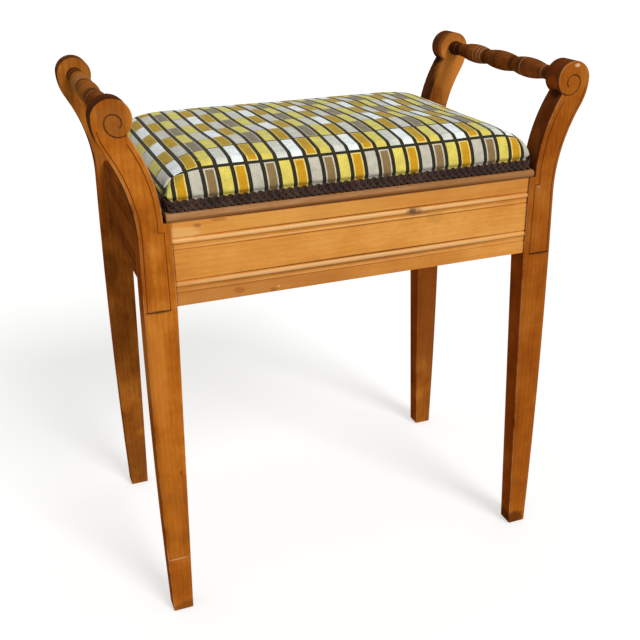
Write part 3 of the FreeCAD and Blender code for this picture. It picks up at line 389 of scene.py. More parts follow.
back_leg = leg_wood(
    "beech_leg_back_shellacked", ("#74380f", "#a25e1f", "#c27a30"), 0.63, False, [
        # left leg from the top down: dark outer edge, clouds of stain, dark foot
        ((-268, 127, 430), (9, 40, 110), "#3e1c0a", 0.6),
        ((-246, 127, 462), (10, 40, 32), "#bf6420", 0.5),
        ((-243, 127, 418), (9, 40, 20), "#b45c1c", 0.4),
        ((-244, 127, 345), (16, 40, 34), "#562a10", 0.55),
        ((-238, 127, 250), (18, 40, 50), "#6a3412", 0.4),
        ((-234, 127, 38), (26, 40, 58), "#66330f", 0.6),
        ((-244, 127, 140), (12, 40, 22), "#bb6a24", 0.4),
        # right leg: dark below, paler upright, a neck reddish partly as a painted sheen with
        # near-black below it, and a rim reddish partly as a painted sheen
        ((245, 127, 250), (60, 40, 260), "#743612", 0.72),
        ((262, 127, 570), (40, 20, 60), "#d8883a", 0.75),
        ((240, 141, 596), (8, 12, 9), "#8a3c12", 0.6),
        ((247, 141, 583), (12, 12, 7), "#1c0d06", 0.7),
        ((258, 141, 608), (30, 12, 18), "#643018", 0.6),
    ])

rail_finish = rail_wood("beech_rail_turned_polished")


# Brass

def aged_brass(name):
    """Pressed and drawn brass, dulled to a brown film with a few bright rubbed places."""
    made, tree = start_material(name)
    spot = add(tree, "TexCoord", {}, out=PLACE)
    film = add(tree, "TexNoise", {"Vector": spot, "Scale": 120.0, "Detail": 5.0, "Roughness": 0.65})
    colour = add(tree, "ValToRGB", {"Fac": film},
                 stops=[(0.3, "#6e5128"), (0.52, "#a8833f"), (0.75, "#cfae66")])
    rough = weigh(tree, 0.38, [(film, -0.3)])
    # Drawing marks 25 mm long, drawn as coarse as 0.4 mm so that they show.
    lines = add(tree, "Mapping", {"Vector": spot, "Scale": [40.0, 2500.0, 2500.0]})
    drawing = add(tree, "TexNoise", {"Vector": lines, "Scale": 1.0, "Detail": 2.0})
    bumps = add(tree, "Bump", {"Strength": 0.2, "Distance": 0.05 * MM, "Height": drawing})
    surface(tree, {"Base Color": colour, "Metallic": 1.0, "Roughness": rough, "Normal": bumps})
    return made


brass = aged_brass("brass_aged")


# Seat cloth

COLUMN = 16.19          # mm, one column of blocks with its dark line
LINE = 2.15             # mm, half the width of that line
ROW = 42.0              # mm, one row of blocks
BOLD_ROWS = 7           # rows from one bold line across the cloth to the next
BOLD = 1.8              # mm, half the width of that line where the mesh follows it
FIRST_COLUMN = -189.8   # mm, middle of one column line
CREST = -143.6          # mm along the cloth, the bold line over the seat's front edge
RIB = 2.2               # mm, the ribs' spacing; the real ones are 1 mm apart and wouldn't show

YELLOW, MUSTARD, WHITE, GREY, TAUPE = "#e2cf62", "#cf981b", "#f4faf4", "#c6c0ae", "#8e744a"
PALE_GOLD, PALE_STONE, PALE_GREY = "#e8d27c", "#cfc6b2", "#dadbce"
FLAT_SHEEN_YELLOW, FLAT_SHEEN_MUSTARD, FLAT_SHEEN_WHITE = "#d3cb6a", "#b2932c", "#e8efee"
FLAT_SHEEN_GREY, FLAT_SHEEN_TAUPE = "#cacabf", "#857d66"


def seat_cloth(name):
    """Woven velvet: cut-pile blocks and flat ribbed blocks parted by dark warp lines, 4.3 mm wide,
    soft and matt, with a nap that changes its tone as it turns.
    Reads the piece's own map, which is the cloth's place in metres before it was pulled over."""
    made, tree = start_material(name)
    cloth = add(tree, "UVMap", {}, uv_map="cloth")
    scale = [1 / (COLUMN * MM), 1 / (ROW * MM), 1.0]
    shift = [-FIRST_COLUMN / COLUMN, -CREST / ROW, 0.0]
    blocks = add(tree, "Mapping", {"Vector": cloth, "Scale": scale, "Location": shift})
    columns = add(tree, "SeparateXYZ", {0: blocks}, out=0)
    rows = add(tree, "SeparateXYZ", {0: blocks}, out=1)

    def to_line(place, pitch):
        """Distance in mm to the nearest line between blocks."""
        share = add(tree, "Math", {0: place, 1: 1.0}, operation="PINGPONG")
        near = add(tree, "Math", {0: share, 1: 0.5}, operation="SUBTRACT")
        near = add(tree, "Math", {0: near}, operation="ABSOLUTE")
        near = add(tree, "Math", {0: 0.5, 1: near}, operation="SUBTRACT")
        return add(tree, "Math", {0: near, 1: pitch}, operation="MULTIPLY")

    def turn(place, count):
        """Which of `count` repeats the place is in, as a share of the whole."""
        whole = add(tree, "Math", {0: place}, operation="FLOOR")
        left = add(tree, "Math", {0: whole, 1: float(count)}, operation="FLOORED_MODULO")
        left = add(tree, "Math", {0: left, 1: 0.5}, operation="ADD")
        return add(tree, "Math", {0: left, 1: float(count)}, operation="DIVIDE")

    column_turn = turn(columns, 4)
    other_row = add(tree, "MapRange", {0: turn(rows, 2), 1: 0.45, 2: 0.55}, **SOFT)

    def blocks_of(one_row, next_row):
        """Two rows of four tones, in turn over the whole cloth."""
        ramps = []
        for tones in (one_row, next_row):
            stops = list(zip((0.0, 0.25, 0.5, 0.75), tones))
            ramps.append(add(tree, "ValToRGB", {"Fac": column_turn}, stops=stops))
            ramps[-1].node.color_ramp.interpolation = "CONSTANT"
        return add(tree, "Mix", {0: other_row, 6: ramps[0], 7: ramps[1]}, **OVER)

    pile = blocks_of((MUSTARD, YELLOW, PALE_GREY, WHITE), (GREY, TAUPE, YELLOW, MUSTARD))
    edging = blocks_of((PALE_GOLD, YELLOW, PALE_GREY, WHITE), (GREY, PALE_STONE, YELLOW, PALE_GOLD))
    flat_sheen_pile = blocks_of((FLAT_SHEEN_MUSTARD, FLAT_SHEEN_YELLOW, FLAT_SHEEN_GREY, FLAT_SHEEN_WHITE),
                          (FLAT_SHEEN_GREY, FLAT_SHEEN_TAUPE, FLAT_SHEEN_YELLOW, FLAT_SHEEN_MUSTARD))

    # Half the width in mm of the lines between rows: thin, but one bold and the next one plain.
    nearest = add(tree, "Math", {0: rows}, operation="ROUND")
    every = add(tree, "Math", {0: nearest, 1: float(BOLD_ROWS)}, operation="FLOORED_MODULO")
    bold = add(tree, "Math", {0: every, 1: 0.5}, operation="LESS_THAN")
    first = add(tree, "Math", {0: every, 1: 1.0, 2: 0.2}, operation="COMPARE")
    odd = add(tree, "Math", {0: nearest, 1: 2.0}, operation="FLOORED_MODULO")
    width = 0.45
    for which, more in ((odd, 0.15), (first, 0.55), (bold, 1.3)):
        width = add(tree, "Math", {0: which, 1: more, 2: width}, operation="MULTIPLY_ADD")
    past_end = add(tree, "Math", {0: to_line(rows, ROW), 1: width}, operation="SUBTRACT")
    past_side = add(tree, "Math", {0: to_line(columns, COLUMN), 1: LINE}, operation="SUBTRACT")
    inside = add(tree, "Math", {0: past_end, 1: past_side}, operation="MINIMUM")
    block = add(tree, "MapRange", {0: inside, 1: -0.2, 2: 0.2}, **SOFT)

    # The nap lies flat on top and on the left end, and a painted velvet sheen is laid there too:
    # its gold turns olive, its brown turns grey, and it hides its edging.
    upward, to_right = reading(tree, NORMAL, "Z"), reading(tree, NORMAL, "X")
    on_top = add(tree, "MapRange", {0: upward, 1: 0.965, 2: 0.998}, **SOFT)
    on_left = add(tree, "MapRange", {0: to_right, 1: -0.08, 2: -0.30}, **SOFT)
    flat = add(tree, "Math", {0: on_top, 1: on_left}, operation="MAXIMUM")
    covered = add(tree, "Math", {0: flat, 1: 0.7, 2: inside}, operation="MULTIPLY_ADD")
    pile_share = add(tree, "MapRange", {0: covered, 1: 1.2, 2: 1.8}, **SOFT)

    # Worn nap: cloudy patches about 9 mm wide, and tufts, drawn as coarse as 1.5 mm to show.
    nap = add(tree, "TexNoise", {"Vector": cloth, "Scale": 110.0, "Detail": 3.0})
    tufts = add(tree, "TexNoise", {"Vector": cloth, "Scale": 700.0, "Detail": 2.0})
    ribs = add(tree, "Mapping", {"Vector": cloth, "Rotation": (0.0, 0.0, 0.25)})
    ribs = add(tree, "TexWave", {"Vector": ribs, "Scale": BAND / (RIB * MM), "Distortion": 1.5},
               out=1)
    standing, lying_sheen = [add(tree, "Mix", {0: pile_share, 6: edging, 7: tones}, **OVER)
                       for tones in (pile, flat_sheen_pile)]
    colour = add(tree, "Mix", {0: flat, 6: standing, 7: lying_sheen}, **OVER)
    worn = weigh(tree, 0.95, [(nap, 0.6), (tufts, 0.5), (ribs, 0.16)])
    worn = add(tree, "Math", {0: worn, 1: 1.1}, operation="MINIMUM")
    colour = add(tree, "VectorMath", {0: colour, "Scale": worn}, operation="SCALE")
    lines = add(tree, "Mix", {0: tufts, 6: linear("#211f17"), 7: linear("#3b372b")}, **OVER)
    colour = add(tree, "Mix", {0: block, 6: lines, 7: colour}, **OVER)

    height = weigh(tree, 0.5, [(block, 0.6), (pile_share, 0.3), (tufts, 0.35), (ribs, 0.12)])
    bumps = add(tree, "Bump", {"Strength": 0.5, "Distance": 0.5 * MM, "Height": height})
    surface(tree, {"Base Color": colour, "Roughness": 0.88, "Sheen Weight": 0.1,
                   "Sheen Roughness": 0.4, "Specular IOR Level": 0.1, "Normal": bumps})
    return made


def braid_cord(name):
    """Twisted rayon cord, very dark brown, with a silky gleam on each 0.6 mm thread."""
    made, tree = start_material(name)
    spot = add(tree, "TexCoord", {}, out=PLACE)
    threads = add(tree, "TexNoise", {"Vector": spot, "Scale": 1600.0, "Detail": 2.0})
    fade = add(tree, "TexNoise", {"Vector": spot, "Scale": 60.0, "Detail": 3.0})
    value = weigh(tree, 0.5, [(threads, 0.7), (fade, 0.5)])
    colour = add(tree, "ValToRGB", {"Fac": value},
                 stops=[(0.25, "#140906"), (0.5, "#341f17"), (0.8, "#664a3a")])
    bumps = add(tree, "Bump", {"Strength": 0.6, "Distance": 0.3 * MM, "Height": threads})
    surface(tree, {"Base Color": colour, "Roughness": 0.42, "Sheen Weight": 0.04,
                   "Sheen Roughness": 0.4, "Specular IOR Level": 0.2, "Normal": bumps})
    return made


# Stuffed seat. A stage t names a line round it: -1 at the middle of the top, 0 where the crown
# ends, 1 where the rounded edge ends, and 2 at the board.

base_low, base_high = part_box("seat_cushion")
FULL_X, FULL_Y = base_high.x, base_high.y    # half sizes at the rounded edge
BASE, TOP = base_low.z, base_high.z
CROWN = 7.5 * MM                             # rise of the top from its edge to its middle
SIDE = 30 * MM                               # height of the rounded edge
REACH_X, REACH_Y = 45 * MM, 20 * MM          # its width at the ends, and in front and behind
SWELL = 2.4 * MM                             # how far the sides draw in below it
EDGE = TOP - CROWN - SIDE                    # level at which it ends
CORNER_TOP, CORNER_SIDE = 24 * MM, 8.5 * MM  # radius of the corners on top and down the side
FULLER, FULL_AT, FULL_WIDE = 3.0 * MM, 0.52, 0.35  # stuffing pushed forward, its place and spread
PULL = 0.085                                 # slant of the cloth's lines down the front
TUCK = math.radians(17)                      # how far a corner's fold lies round to the end
FOLD_FROM, FOLDING = 0.42, 0.35              # stage at which it starts, and its run
HELD = 2.2                                   # mm each side of a dark line held down
INSIDE_X, INSIDE_Y = 167.5, 129.5            # mm, half size of the top's even mesh
LEAST_GAP, MOST_GAP = 0.022, 0.075           # between the mesh's stages round the edge


def smooth(share):
    """Soft change from 0 to 1."""
    share = min(max(share, 0.0), 1.0)
    return share * share * (3 - 2 * share)


def half_size(t, full, reach):
    """Half size of the seat at stage t."""
    if t <= 0:
        return (full - reach) * (1 + t)
    if t <= 1:
        return full - reach * (1 - math.cos((1 - t) * math.pi / 2))
    return full - SWELL * min(1.0, (t - 1) * 4)


def level_at(t):
    """Height of stage t."""
    if t <= 0:
        return EDGE + SIDE + CROWN * (1 - (1 + t) ** 2)
    if t <= 1:
        return EDGE + SIDE * math.sin((1 - t) * math.pi / 2)
    return EDGE - (t - 1) * (EDGE - BASE)


def corner_at(t):
    """Radius of the corners at stage t."""
    if t <= 0:
        return CORNER_TOP * (1 + t)
    if t <= 1:
        return CORNER_SIDE + (CORNER_TOP - CORNER_SIDE) * math.sin((1 - t) * math.pi / 2)
    return CORNER_SIDE


def edge_lengths(reach, steps=120):
    """Length of cloth from the crown's end, at equal stages round the edge and down."""
    lengths, total = [0.0], 0.0
    for step in range(steps):
        a, b = 2 * step / steps, 2 * (step + 1) / steps
        across = half_size(b, 1, reach) - half_size(a, 1, reach)
        total += math.hypot(across, level_at(b) - level_at(a))
        lengths.append(total)
    return lengths


ACROSS = (FULL_X, REACH_X, edge_lengths(REACH_X))   # the seat's section from end to end
AHEAD = (FULL_Y, REACH_Y, edge_lengths(REACH_Y))    # and from front to back


def cloth_length(t, full, reach, lengths):
    """Cloth from the seat's middle to stage t."""
    if t <= 0:
        return (full - reach) * (1 + t)
    place = min(t / 2 * (len(lengths) - 1), len(lengths) - 1.0001)
    step = int(place)
    return full - reach + lengths[step] + (lengths[step + 1] - lengths[step]) * (place - step)


def stage(length, full, reach, lengths):
    """The stage that lies this far along the cloth."""
    if length <= full - reach:
        return length / (full - reach) - 1
    low, high = 0.0, 2.0
    for _ in range(26):
        middle = (low + high) / 2
        if cloth_length(middle, full, reach, lengths) < length:
            low = middle
        else:
            high = middle
    return low


def seat_place(u, v, on_end=None):
    """Where the cloth's point (u, v) lies on the seat, its place on the cloth's map, its stage,
    its distance from the corner's fold, and whether it lies on an end."""
    stage_x, stage_y = stage(abs(u), *ACROSS), stage(abs(v), *AHEAD)
    end = stage_x >= stage_y if on_end is None else on_end
    t = max(stage_x, stage_y) if on_end is None else (stage_x if on_end else stage_y)
    radius = corner_at(t)
    half = [half_size(t, FULL_X, REACH_X), half_size(t, FULL_Y, REACH_Y)]
    cloth = [cloth_length(t, *ACROSS), cloth_length(t, *AHEAD)]
    place = [abs(u), abs(v)]
    out, side = (0, 1) if end else (1, 0)
    straight = half[side] - radius
    spot, mapped = [0.0, 0.0], [0.0, 0.0]
    angle, limit = 0.0, math.pi / 4
    if place[side] <= straight:
        spot[out], spot[side] = half[out], place[side]
        mapped[out], mapped[side] = cloth[out], place[side]
    else:
        # Below the seat's shoulder the cloth's fullness goes into the corner's fold.
        folded = smooth((t - FOLD_FROM) / FOLDING)
        limit = math.pi / 4 + TUCK * folded * (-1 if end else 1)
        angle = (place[side] - straight) / max(cloth[side] - straight, 1e-6) * limit
        spot[out] = half[out] - radius + radius * math.cos(angle)
        spot[side] = straight + radius * math.sin(angle)
        inner = half[out] - radius
        loose_out = inner + (cloth[out] - inner) * math.cos(angle)
        loose_side = straight + (cloth[side] - straight) * math.sin(angle)
        mapped[out] = loose_out + (cloth[out] - loose_out) * folded
        mapped[side] = loose_side + (straight + radius * angle - loose_side) * folded
    left, near = math.copysign(1, u), math.copysign(1, v)
    full = math.exp(-((spot[1] * near / FULL_Y + FULL_AT) / FULL_WIDE) ** 2)
    full *= 1 - (spot[0] / FULL_X) ** 6
    level = level_at(t) + FULLER * full * (1 - smooth(t / 0.4))
    point = Vector((spot[0] * left, spot[1] * near, level))
    slant = PULL * max(0.0, CREST * MM - mapped[1] * near)
    return point, (mapped[0] * left - slant, mapped[1] * near), t, (limit - angle) * radius, end


def lines_between(first, pitch, width, inner, limit):
    """Places in mm of the mesh's lines: three on each dark line, and `inner` in each block."""
    places = set()
    for number in range(-30, 31):
        line = first + number * pitch
        block = pitch - 2 * width
        places.update((line - width, line, line + width))
        places.update(line + width + block * (step + 1) / (inner + 1) for step in range(inner))
    return sorted(place for place in places if abs(place) < limit)


def edge_stages():
    """Stages of the mesh's lines round the edge. All four sides share them, so that the mesh's
    lines meet on the corners' folds."""
    wanted = [0.0, 2.0]
    for places, section in (
            (lines_between(FIRST_COLUMN, COLUMN, LINE, 0, 240), ACROSS),
            (lines_between(CREST, BOLD_ROWS * ROW, BOLD, 0, 185), AHEAD)):
        full, reach, _ = section
        wanted += [stage(abs(place) * MM, *section)
                   for place in places if abs(place) * MM > full - reach + 1 * MM]
    wanted = sorted(wanted)
    kept = [wanted[0]]
    for value in wanted[1:]:
        start = kept[-1]
        gap = value - start
        if gap < LEAST_GAP and value < 2.0:
            continue
        parts = math.ceil(gap / MOST_GAP)
        kept += [start + gap * (part + 1) / parts for part in range(parts)]
    return kept


def column_line(u):
    """1 on the middle of a dark line between columns, 0 off it."""
    share = (u / MM - FIRST_COLUMN) / COLUMN
    return max(0.0, 1 - abs(share - round(share)) * COLUMN / HELD)


def row_line(v):
    """The same between rows, where only the bold line is held down fully."""
    share = (v / MM - CREST) / ROW
    number = round(share)
    depth = 1.0 if number % BOLD_ROWS == 0 else (0.35 if number % 2 else 0.15)
    return depth * max(0.0, 1 - abs(share - number) * ROW / HELD)


def fold_depth(t, fold, end):
    """How deep in mm the cloth lies in a corner's fold, with a small puff beside it."""
    deep = smooth((t - 0.5) / 0.5) * 2.2 + smooth((t - 0.9) / 0.3) * 1.6
    puff = smooth((t - 0.4) / 0.4) * (0.9 if not end else 0.3)
    return (deep * math.exp(-(fold / (1.3 * MM)) ** 2)
            - puff * math.exp(-((fold - 3.5 * MM) / (2 * MM)) ** 2))


def new_piece(name, bm):
    """Puts a finished mesh in the scene as an object of its own."""
    mesh = bpy.data.meshes.new(name)
    bm.to_mesh(mesh)
    bm.free()
    piece = bpy.data.objects.new(name, mesh)
    scene.collection.objects.link(piece)
    return piece


def pull_cloth():
    """The cloth as a grid, pulled over the seat, with its map and how tightly it is held."""
    stages = edge_stages()
    lines = []
    for places, section in (
            (lines_between(FIRST_COLUMN, COLUMN, LINE, 2, INSIDE_X), ACROSS),
            (lines_between(CREST, ROW, BOLD, 5, INSIDE_Y), AHEAD)):
        round_edge = [cloth_length(t, *section) for t in stages]
        lines.append([-place for place in reversed(round_edge)] + [place * MM for place in places]
                     + round_edge)
    wide, long = (len(places) - 1 for places in lines)
    bm = bmesh.new()
    cloth = bm.loops.layers.uv.new("cloth")
    held = bm.verts.layers.deform.verify()
    bmesh.ops.create_grid(bm, x_segments=wide, y_segments=long, size=1.0)
    grid = {}
    for vertex in bm.verts:
        column = round((vertex.co.x + 1) / 2 * wide)
        row = round((vertex.co.y + 1) / 2 * long)
        grid[vertex] = (lines[0][column], lines[1][row])
    for vertex, (u, v) in grid.items():
        point, mapped, t, fold, end = seat_place(u, v)
        vertex.co = point
        tight = max(column_line(mapped[0]) ** 2, row_line(mapped[1]) ** 2)
        if t > 0.5 and fold < 1.5 * MM:
            tight = 1.0
        vertex[held][0] = 1.0 if t > 1.25 else tight
        if t < 1.6:
            inward = Vector((-math.copysign(1, u), -math.copysign(1, v), 0)).normalized()
            vertex.co += inward * MM * fold_depth(t, fold, end)
    for face in bm.faces:
        middle = [sum(grid[corner.vert][axis] for corner in face.loops) / 4 for axis in (0, 1)]
        _, _, t, _, on_end = seat_place(*middle)
        for corner in face.loops:
            corner[cloth].uv = seat_place(*grid[corner.vert], on_end if t > 0 else None)[1]
    bmesh.ops.recalc_face_normals(bm, faces=bm.faces)
    seat = new_piece("seat_velvet", bm)
    seat.vertex_groups.new(name="held")
    return seat


def sink_cloth(mesh):
    """Starts the cloth a little inside the stuffing's outline, lower on its dark lines."""
    starts = []
    for vertex in mesh.vertices:
        spot = vertex.co.copy()
        outline = 0.6 + 0.5 * (vertex.groups[0].weight if vertex.groups else 1.0)
        soft = noise.noise(spot * 14.0) * 0.8 + noise.noise(spot * 40.0) * 0.3
        starts.append((spot, vertex.normal.copy(), outline - soft))
    for vertex, (spot, normal, sunk) in zip(mesh.vertices, starts):
        if spot.z > BASE + 2 * MM:
            vertex.co = spot - normal * sunk * MM


def fill_out(seat, most):
    """Presses the stuffing out against the cloth, between the lines that hold it."""
    frames = 20
    before = [vertex.co.copy() for vertex in seat.data.vertices]
    press = seat.modifiers.new("press", "CLOTH")
    velvet = press.settings
    velvet.quality = 5
    velvet.mass = 0.3
    velvet.tension_stiffness = velvet.compression_stiffness = 40
    velvet.bending_stiffness = 2.0
    velvet.use_pressure = True
    velvet.uniform_pressure_force = 4.0
    velvet.vertex_group_mass = "held"
    velvet.pin_stiffness = 1.0
    velvet.effector_weights.gravity = 0.0
    press.collision_settings.use_collision = False
    press.point_cache.frame_start, press.point_cache.frame_end = 1, frames
    for number in range(1, frames + 1):
        scene.frame_set(number)
    pressed = seat.evaluated_get(bpy.context.evaluated_depsgraph_get())
    moved = [vertex.co.copy() for vertex in pressed.data.vertices]
    seat.modifiers.remove(press)
    for vertex, old, new in zip(seat.data.vertices, before, moved):
        step = new - old
        if step.length > most:
            step *= most / step.length
        vertex.co = old + step
    scene.frame_set(1)


def finish_seat(seat):
    """One subdivision, then the underside."""
    divide = seat.modifiers.new("divide", "SUBSURF")
    divide.levels = divide.render_levels = 1
    shown = seat.evaluated_get(bpy.context.evaluated_depsgraph_get())
    mesh = bpy.data.meshes.new_from_object(shown)
    seat.modifiers.remove(divide)
    seat.vertex_groups.clear()
    bm = bmesh.new()
    bm.from_mesh(mesh)
    bmesh.ops.holes_fill(bm, edges=[edge for edge in bm.edges if edge.is_boundary])
    bmesh.ops.recalc_face_normals(bm, faces=bm.faces)
    for face in bm.faces:
        face.smooth = True
    bm.to_mesh(mesh)
    bm.free()
    seat.data = mesh


# Velvet pulled over the stuffing, folded at its corners and tacked down behind the braid.
seat = pull_cloth()
sink_cloth(seat.data)
fill_out(seat, 1.5 * MM)
finish_seat(seat)
seat.data.materials.append(seat_cloth("velvet_block_check"))
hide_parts("seat_cushion")
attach(seat, "lid")


# Braid round the seat, in mm

PLAIT = 24.0            # length of one plait, three scallops
PLAIT_POINTS = 20       # points along it
CORD = 0.75             # half the thickness of a cord
APART = 1.3             # between the middles of a strand's cords
SPREAD = 4.3            # how far a strand swings up and down
WEAVE = 0.75            # how far it swings out and in
LEAN = 1.8              # how far the lower scallops spread forward
IN_X, IN_Y = 1.3, 0.2   # from the node's box to the braid's line
CORNER = 8.5            # radius round the seat's corners
MIDDLE = 6.2            # the braid's middle above its lower edge
TAPE_IN = 1.2           # from the braid's line to the tape
TAPE_LOW, TAPE_HALF = 1.45, 4.2     # the tape's middle below the braid's, and half its height
TAPE_POINTS = 360


def round_path(half_x, half_y, radius, distance):
    """Point and outward direction this far round a rounded rectangle, from mid-front."""
    long, short, turn = 2 * (half_x - radius), 2 * (half_y - radius), radius * math.pi / 2
    total = 2 * (long + short) + 4 * turn
    left = (distance + long / 2) % total
    way, start = 0.0, Vector((radius - half_x, -half_y))
    for length in (long, short, long, short):
        ahead = Vector((math.cos(way), math.sin(way)))
        out = Vector((ahead.y, -ahead.x))
        if left <= length:
            return start + ahead * left, out
        left -= length
        start += ahead * length
        if left <= turn:
            centre = start - out * radius
            aim = out.copy()
            aim.rotate(Matrix.Rotation(left / radius, 2))
            return centre + aim * radius, aim
        left -= turn
        start = start - out * radius + ahead * radius
        way += math.pi / 2
    return start, out


def path_length(half_x, half_y, radius):
    """Length round the same rectangle."""
    return 4 * (half_x - radius) + 4 * (half_y - radius) + 2 * math.pi * radius


def add_run(bm, points, half_thick, sides, rise=0.0):
    """Adds a closed run of cord, or of tape where it has a rise, along these points."""
    curve = bpy.data.curves.new("run", "CURVE")
    curve.dimensions = "3D"
    curve.bevel_depth = half_thick
    curve.bevel_resolution = sides
    curve.extrude = rise
    line = curve.splines.new("POLY")
    line.points.add(len(points) - 1)
    for place, point in zip(line.points, points):
        place.co = (*point, 1.0)
    line.use_cyclic_u = True
    holder = bpy.data.objects.new("run", curve)
    scene.collection.objects.link(holder)
    shown = holder.evaluated_get(bpy.context.evaluated_depsgraph_get())
    mesh = bpy.data.meshes.new_from_object(shown)
    bm.from_mesh(mesh)
    bpy.data.objects.remove(holder)
    bpy.data.curves.remove(curve)
    bpy.data.meshes.remove(mesh)


def make_braid():
    """Three strands of three cords plaited flat, 8 mm from scallop to scallop, sewn over a tape."""
    low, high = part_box("gimp_braid")
    half_x, half_y = high.x - IN_X * MM, high.y - IN_Y * MM
    radius = CORNER * MM
    length = path_length(half_x, half_y, radius)
    plaits = round(length / (PLAIT * MM))
    steps = plaits * PLAIT_POINTS
    middle = low.z + MIDDLE * MM
    bm = bmesh.new()
    for strand in range(3):
        for cord in (-1, 0, 1):
            points = []
            for step in range(steps):
                turn = step / steps * plaits * 2 * math.pi + strand * 2 * math.pi / 3
                spot, out = round_path(half_x, half_y, radius, length * step / steps)
                rise = SPREAD * math.sin(turn) + cord * APART
                # The lower scallops spread over the board in front and behind.
                lean = LEAN * max(0.0, -rise - 1.0) / (SPREAD + APART - 1.0) * abs(out.y)
                depth = WEAVE * math.sin(2 * turn) + 0.2 - 0.15 * abs(cord) + lean
                spot = spot + out * depth * MM
                points.append((spot.x, spot.y, middle + rise * MM))
            add_run(bm, points, CORD * MM, 1)
    tape = []
    half_x, half_y = half_x - TAPE_IN * MM, half_y - TAPE_IN * MM
    length = path_length(half_x, half_y, radius)
    for step in range(TAPE_POINTS):
        spot, _ = round_path(half_x, half_y, radius, length * step / TAPE_POINTS)
        tape.append((spot.x, spot.y, middle - TAPE_LOW * MM))
    add_run(bm, tape, 0.5 * MM, 0, TAPE_HALF * MM)
    for face in bm.faces:
        face.smooth = True
    return new_piece("braid_plaited", bm)


braid = make_braid()
braid.data.materials.append(braid_cord("rayon_braid_dark"))
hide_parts("gimp_braid")
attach(braid, "lid")


# Hinge screws, in mm

HEAD = 2.8              # radius of a head
SLOT = 0.32             # half the width of its slot
SLOT_DEPTH = 0.08
SINK, TAPER = 0.9, 0.66     # how deep the cone under it goes, and its low end's share of it
SCREW_PLACES = (-17, 0, 17)         # along a leaf
SCREW_IN = 5.5                      # from a leaf's front edge
FIXED_FACE, LID_FACE = 491.78, 491.92   # levels of the heads, which meet when the lid is down


def make_screw(name, x, y, level, up):
    """Countersunk slotted screw head, its face a hair proud of the leaf."""
    bm = bmesh.new()
    bmesh.ops.create_circle(bm, cap_ends=True, segments=28, radius=HEAD * MM)
    for side in (SLOT, -SLOT):
        bmesh.ops.bisect_plane(bm, geom=bm.verts[:] + bm.edges[:] + bm.faces[:],
                               plane_co=(0, side * MM, 0), plane_no=(0, 1, 0))
    slot_face = min(bm.faces, key=lambda face: abs(face.calc_center_median().y))
    # The cone is made point by point, because an extrusion changes its order from run to run.
    rim = [edge.verts[:] for edge in bm.edges if edge.is_boundary]
    low = {}
    for high in sum(rim, []):
        if high not in low:
            low[high] = bm.verts.new((high.co.x * TAPER, high.co.y * TAPER, -SINK * MM))
    for one, other in rim:
        bm.faces.new((one, other, low[other], low[one]))
    bmesh.ops.contextual_create(bm, geom=[edge for edge in bm.edges if edge.is_boundary])
    slot_floor = bmesh.ops.extrude_discrete_faces(bm, faces=[slot_face])["faces"][0]
    bmesh.ops.translate(bm, verts=slot_floor.verts[:], vec=(0, 0, -SLOT_DEPTH * MM))
    bmesh.ops.recalc_face_normals(bm, faces=bm.faces)
    # No two slots lie the same way.
    turn = 0.35 * math.sin(x * 913.0 + level * 371.0)
    place = Matrix.Translation((x, y, level)) @ Matrix.Rotation(turn, 4, "Z")
    if not up:
        place = place @ Matrix.Rotation(math.pi, 4, "X")
    bmesh.ops.transform(bm, matrix=place, verts=bm.verts)
    screw = new_piece(name, bm)
    screw.data.materials.append(brass)
    return screw


for side in ("left", "right"):
    leaf_low, leaf_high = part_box(f"hinge_leaf_fixed_{side}")
    middle = (leaf_low.x + leaf_high.x) / 2
    for number, offset in enumerate(SCREW_PLACES, 1):
        x, y = middle + offset * MM, leaf_low.y + SCREW_IN * MM
        screw = make_screw(f"screw_fixed_{side}_{number}", x, y, FIXED_FACE * MM, True)
        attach(screw, "frame")
        screw = make_screw(f"screw_lid_{side}_{number}", x, y, LID_FACE * MM, False)
        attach(screw, "lid")


# Finishes on the pieces that come from the frame

finishes = {
    "leg_front": front_leg, "leg_back": back_leg, "handle_rail": rail_finish,
    "apron_front": front_panel, "apron_back": side_panel, "apron_left": side_panel,
    "apron_right": side_panel, "bearer": inner_wood, "well_floor": inner_wood,
    "lid_board": lid_wood, "hinge": brass,
}
for name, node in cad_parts.items():
    for start, finish in finishes.items():
        if name.startswith(start):
            if not node.material_slots:
                node.data.materials.append(finish)
            for place in node.material_slots:
                place.material = finish


# Floor, light and camera

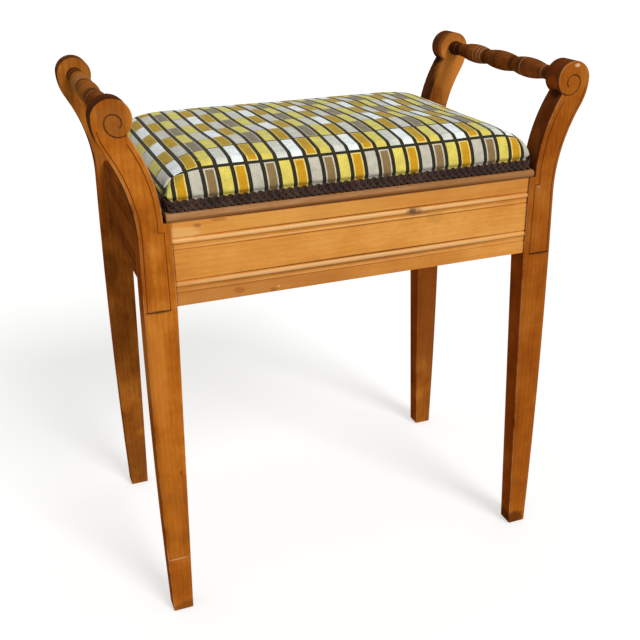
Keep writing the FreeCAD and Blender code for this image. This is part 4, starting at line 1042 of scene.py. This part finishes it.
def make_floor():
    """Pale studio floor that stays white to the camera and still takes the stool's shadow."""
    bm = bmesh.new()
    bmesh.ops.create_grid(bm, x_segments=8, y_segments=8, size=30.0)
    bmesh.ops.translate(bm, verts=bm.verts, vec=(0, 0, -0.4 * MM))
    floor = new_piece("floor", bm)
    made, tree = start_material("floor_painted_pale")
    sight = add(tree, "LightPath", {}, out=CAMERA_RAY)
    glow = add(tree, "Math", {0: sight, 1: 0.51}, operation="MULTIPLY")
    paint = add(tree, "BsdfDiffuse", {"Color": linear("#cacac8")})
    shine = add(tree, "Emission", {"Color": (1, 1, 1, 1), "Strength": glow})
    both = add(tree, "AddShader", {0: paint, 1: shine})
    add(tree, "OutputMaterial", {"Surface": both})
    floor.data.materials.append(made)


def make_light():
    """A bright even room, white where it is seen, with one broad lamp in front, to the right and
    above."""
    room = bpy.data.worlds.new("room")
    scene.world = room
    room.use_nodes = True
    tree = room.node_tree
    tree.nodes.clear()
    white = add(tree, "LightPath", {}, out=CAMERA_RAY)
    for output in (GLOSSY_RAY, THROUGH_RAY):
        also = add(tree, "LightPath", {}, out=output)
        white = add(tree, "Math", {0: white, 1: also}, operation="MAXIMUM")
    strength = add(tree, "MapRange", {"Value": white, "To Min": 0.55, "To Max": 1.0})
    sky = add(tree, "Background", {"Color": (1, 1, 1, 1), "Strength": strength})
    add(tree, "OutputWorld", {"Surface": sky})
    lamp = bpy.data.lights.new("lamp", "SUN")
    lamp.energy = 1.9
    lamp.angle = math.radians(22)
    holder = bpy.data.objects.new("lamp", lamp)
    scene.collection.objects.link(holder)
    toward = Vector((0.25, -0.75, 0.62))
    holder.rotation_euler = toward.to_track_quat("Z", "Y").to_euler()


def make_camera():
    """In front of the left end, looking down on the seat."""
    turn, tip, roll = (math.radians(angle) for angle in (-20.44, 90 - 24.40, -0.87))
    lens = bpy.data.cameras.new("camera")
    lens.lens = 51.19
    lens.sensor_width = 36.0
    lens.clip_end = 200.0
    camera = bpy.data.objects.new("camera", lens)
    scene.collection.objects.link(camera)
    place = Matrix.Translation((-0.37715, -1.02893, 0.78002))
    camera.matrix_world = (place @ Matrix.Rotation(turn, 4, "Z") @ Matrix.Rotation(tip, 4, "X")
                           @ Matrix.Rotation(roll, 4, "Z"))
    scene.camera = camera


make_floor()
make_light()
make_camera()
scene.view_settings.view_transform = "Standard"
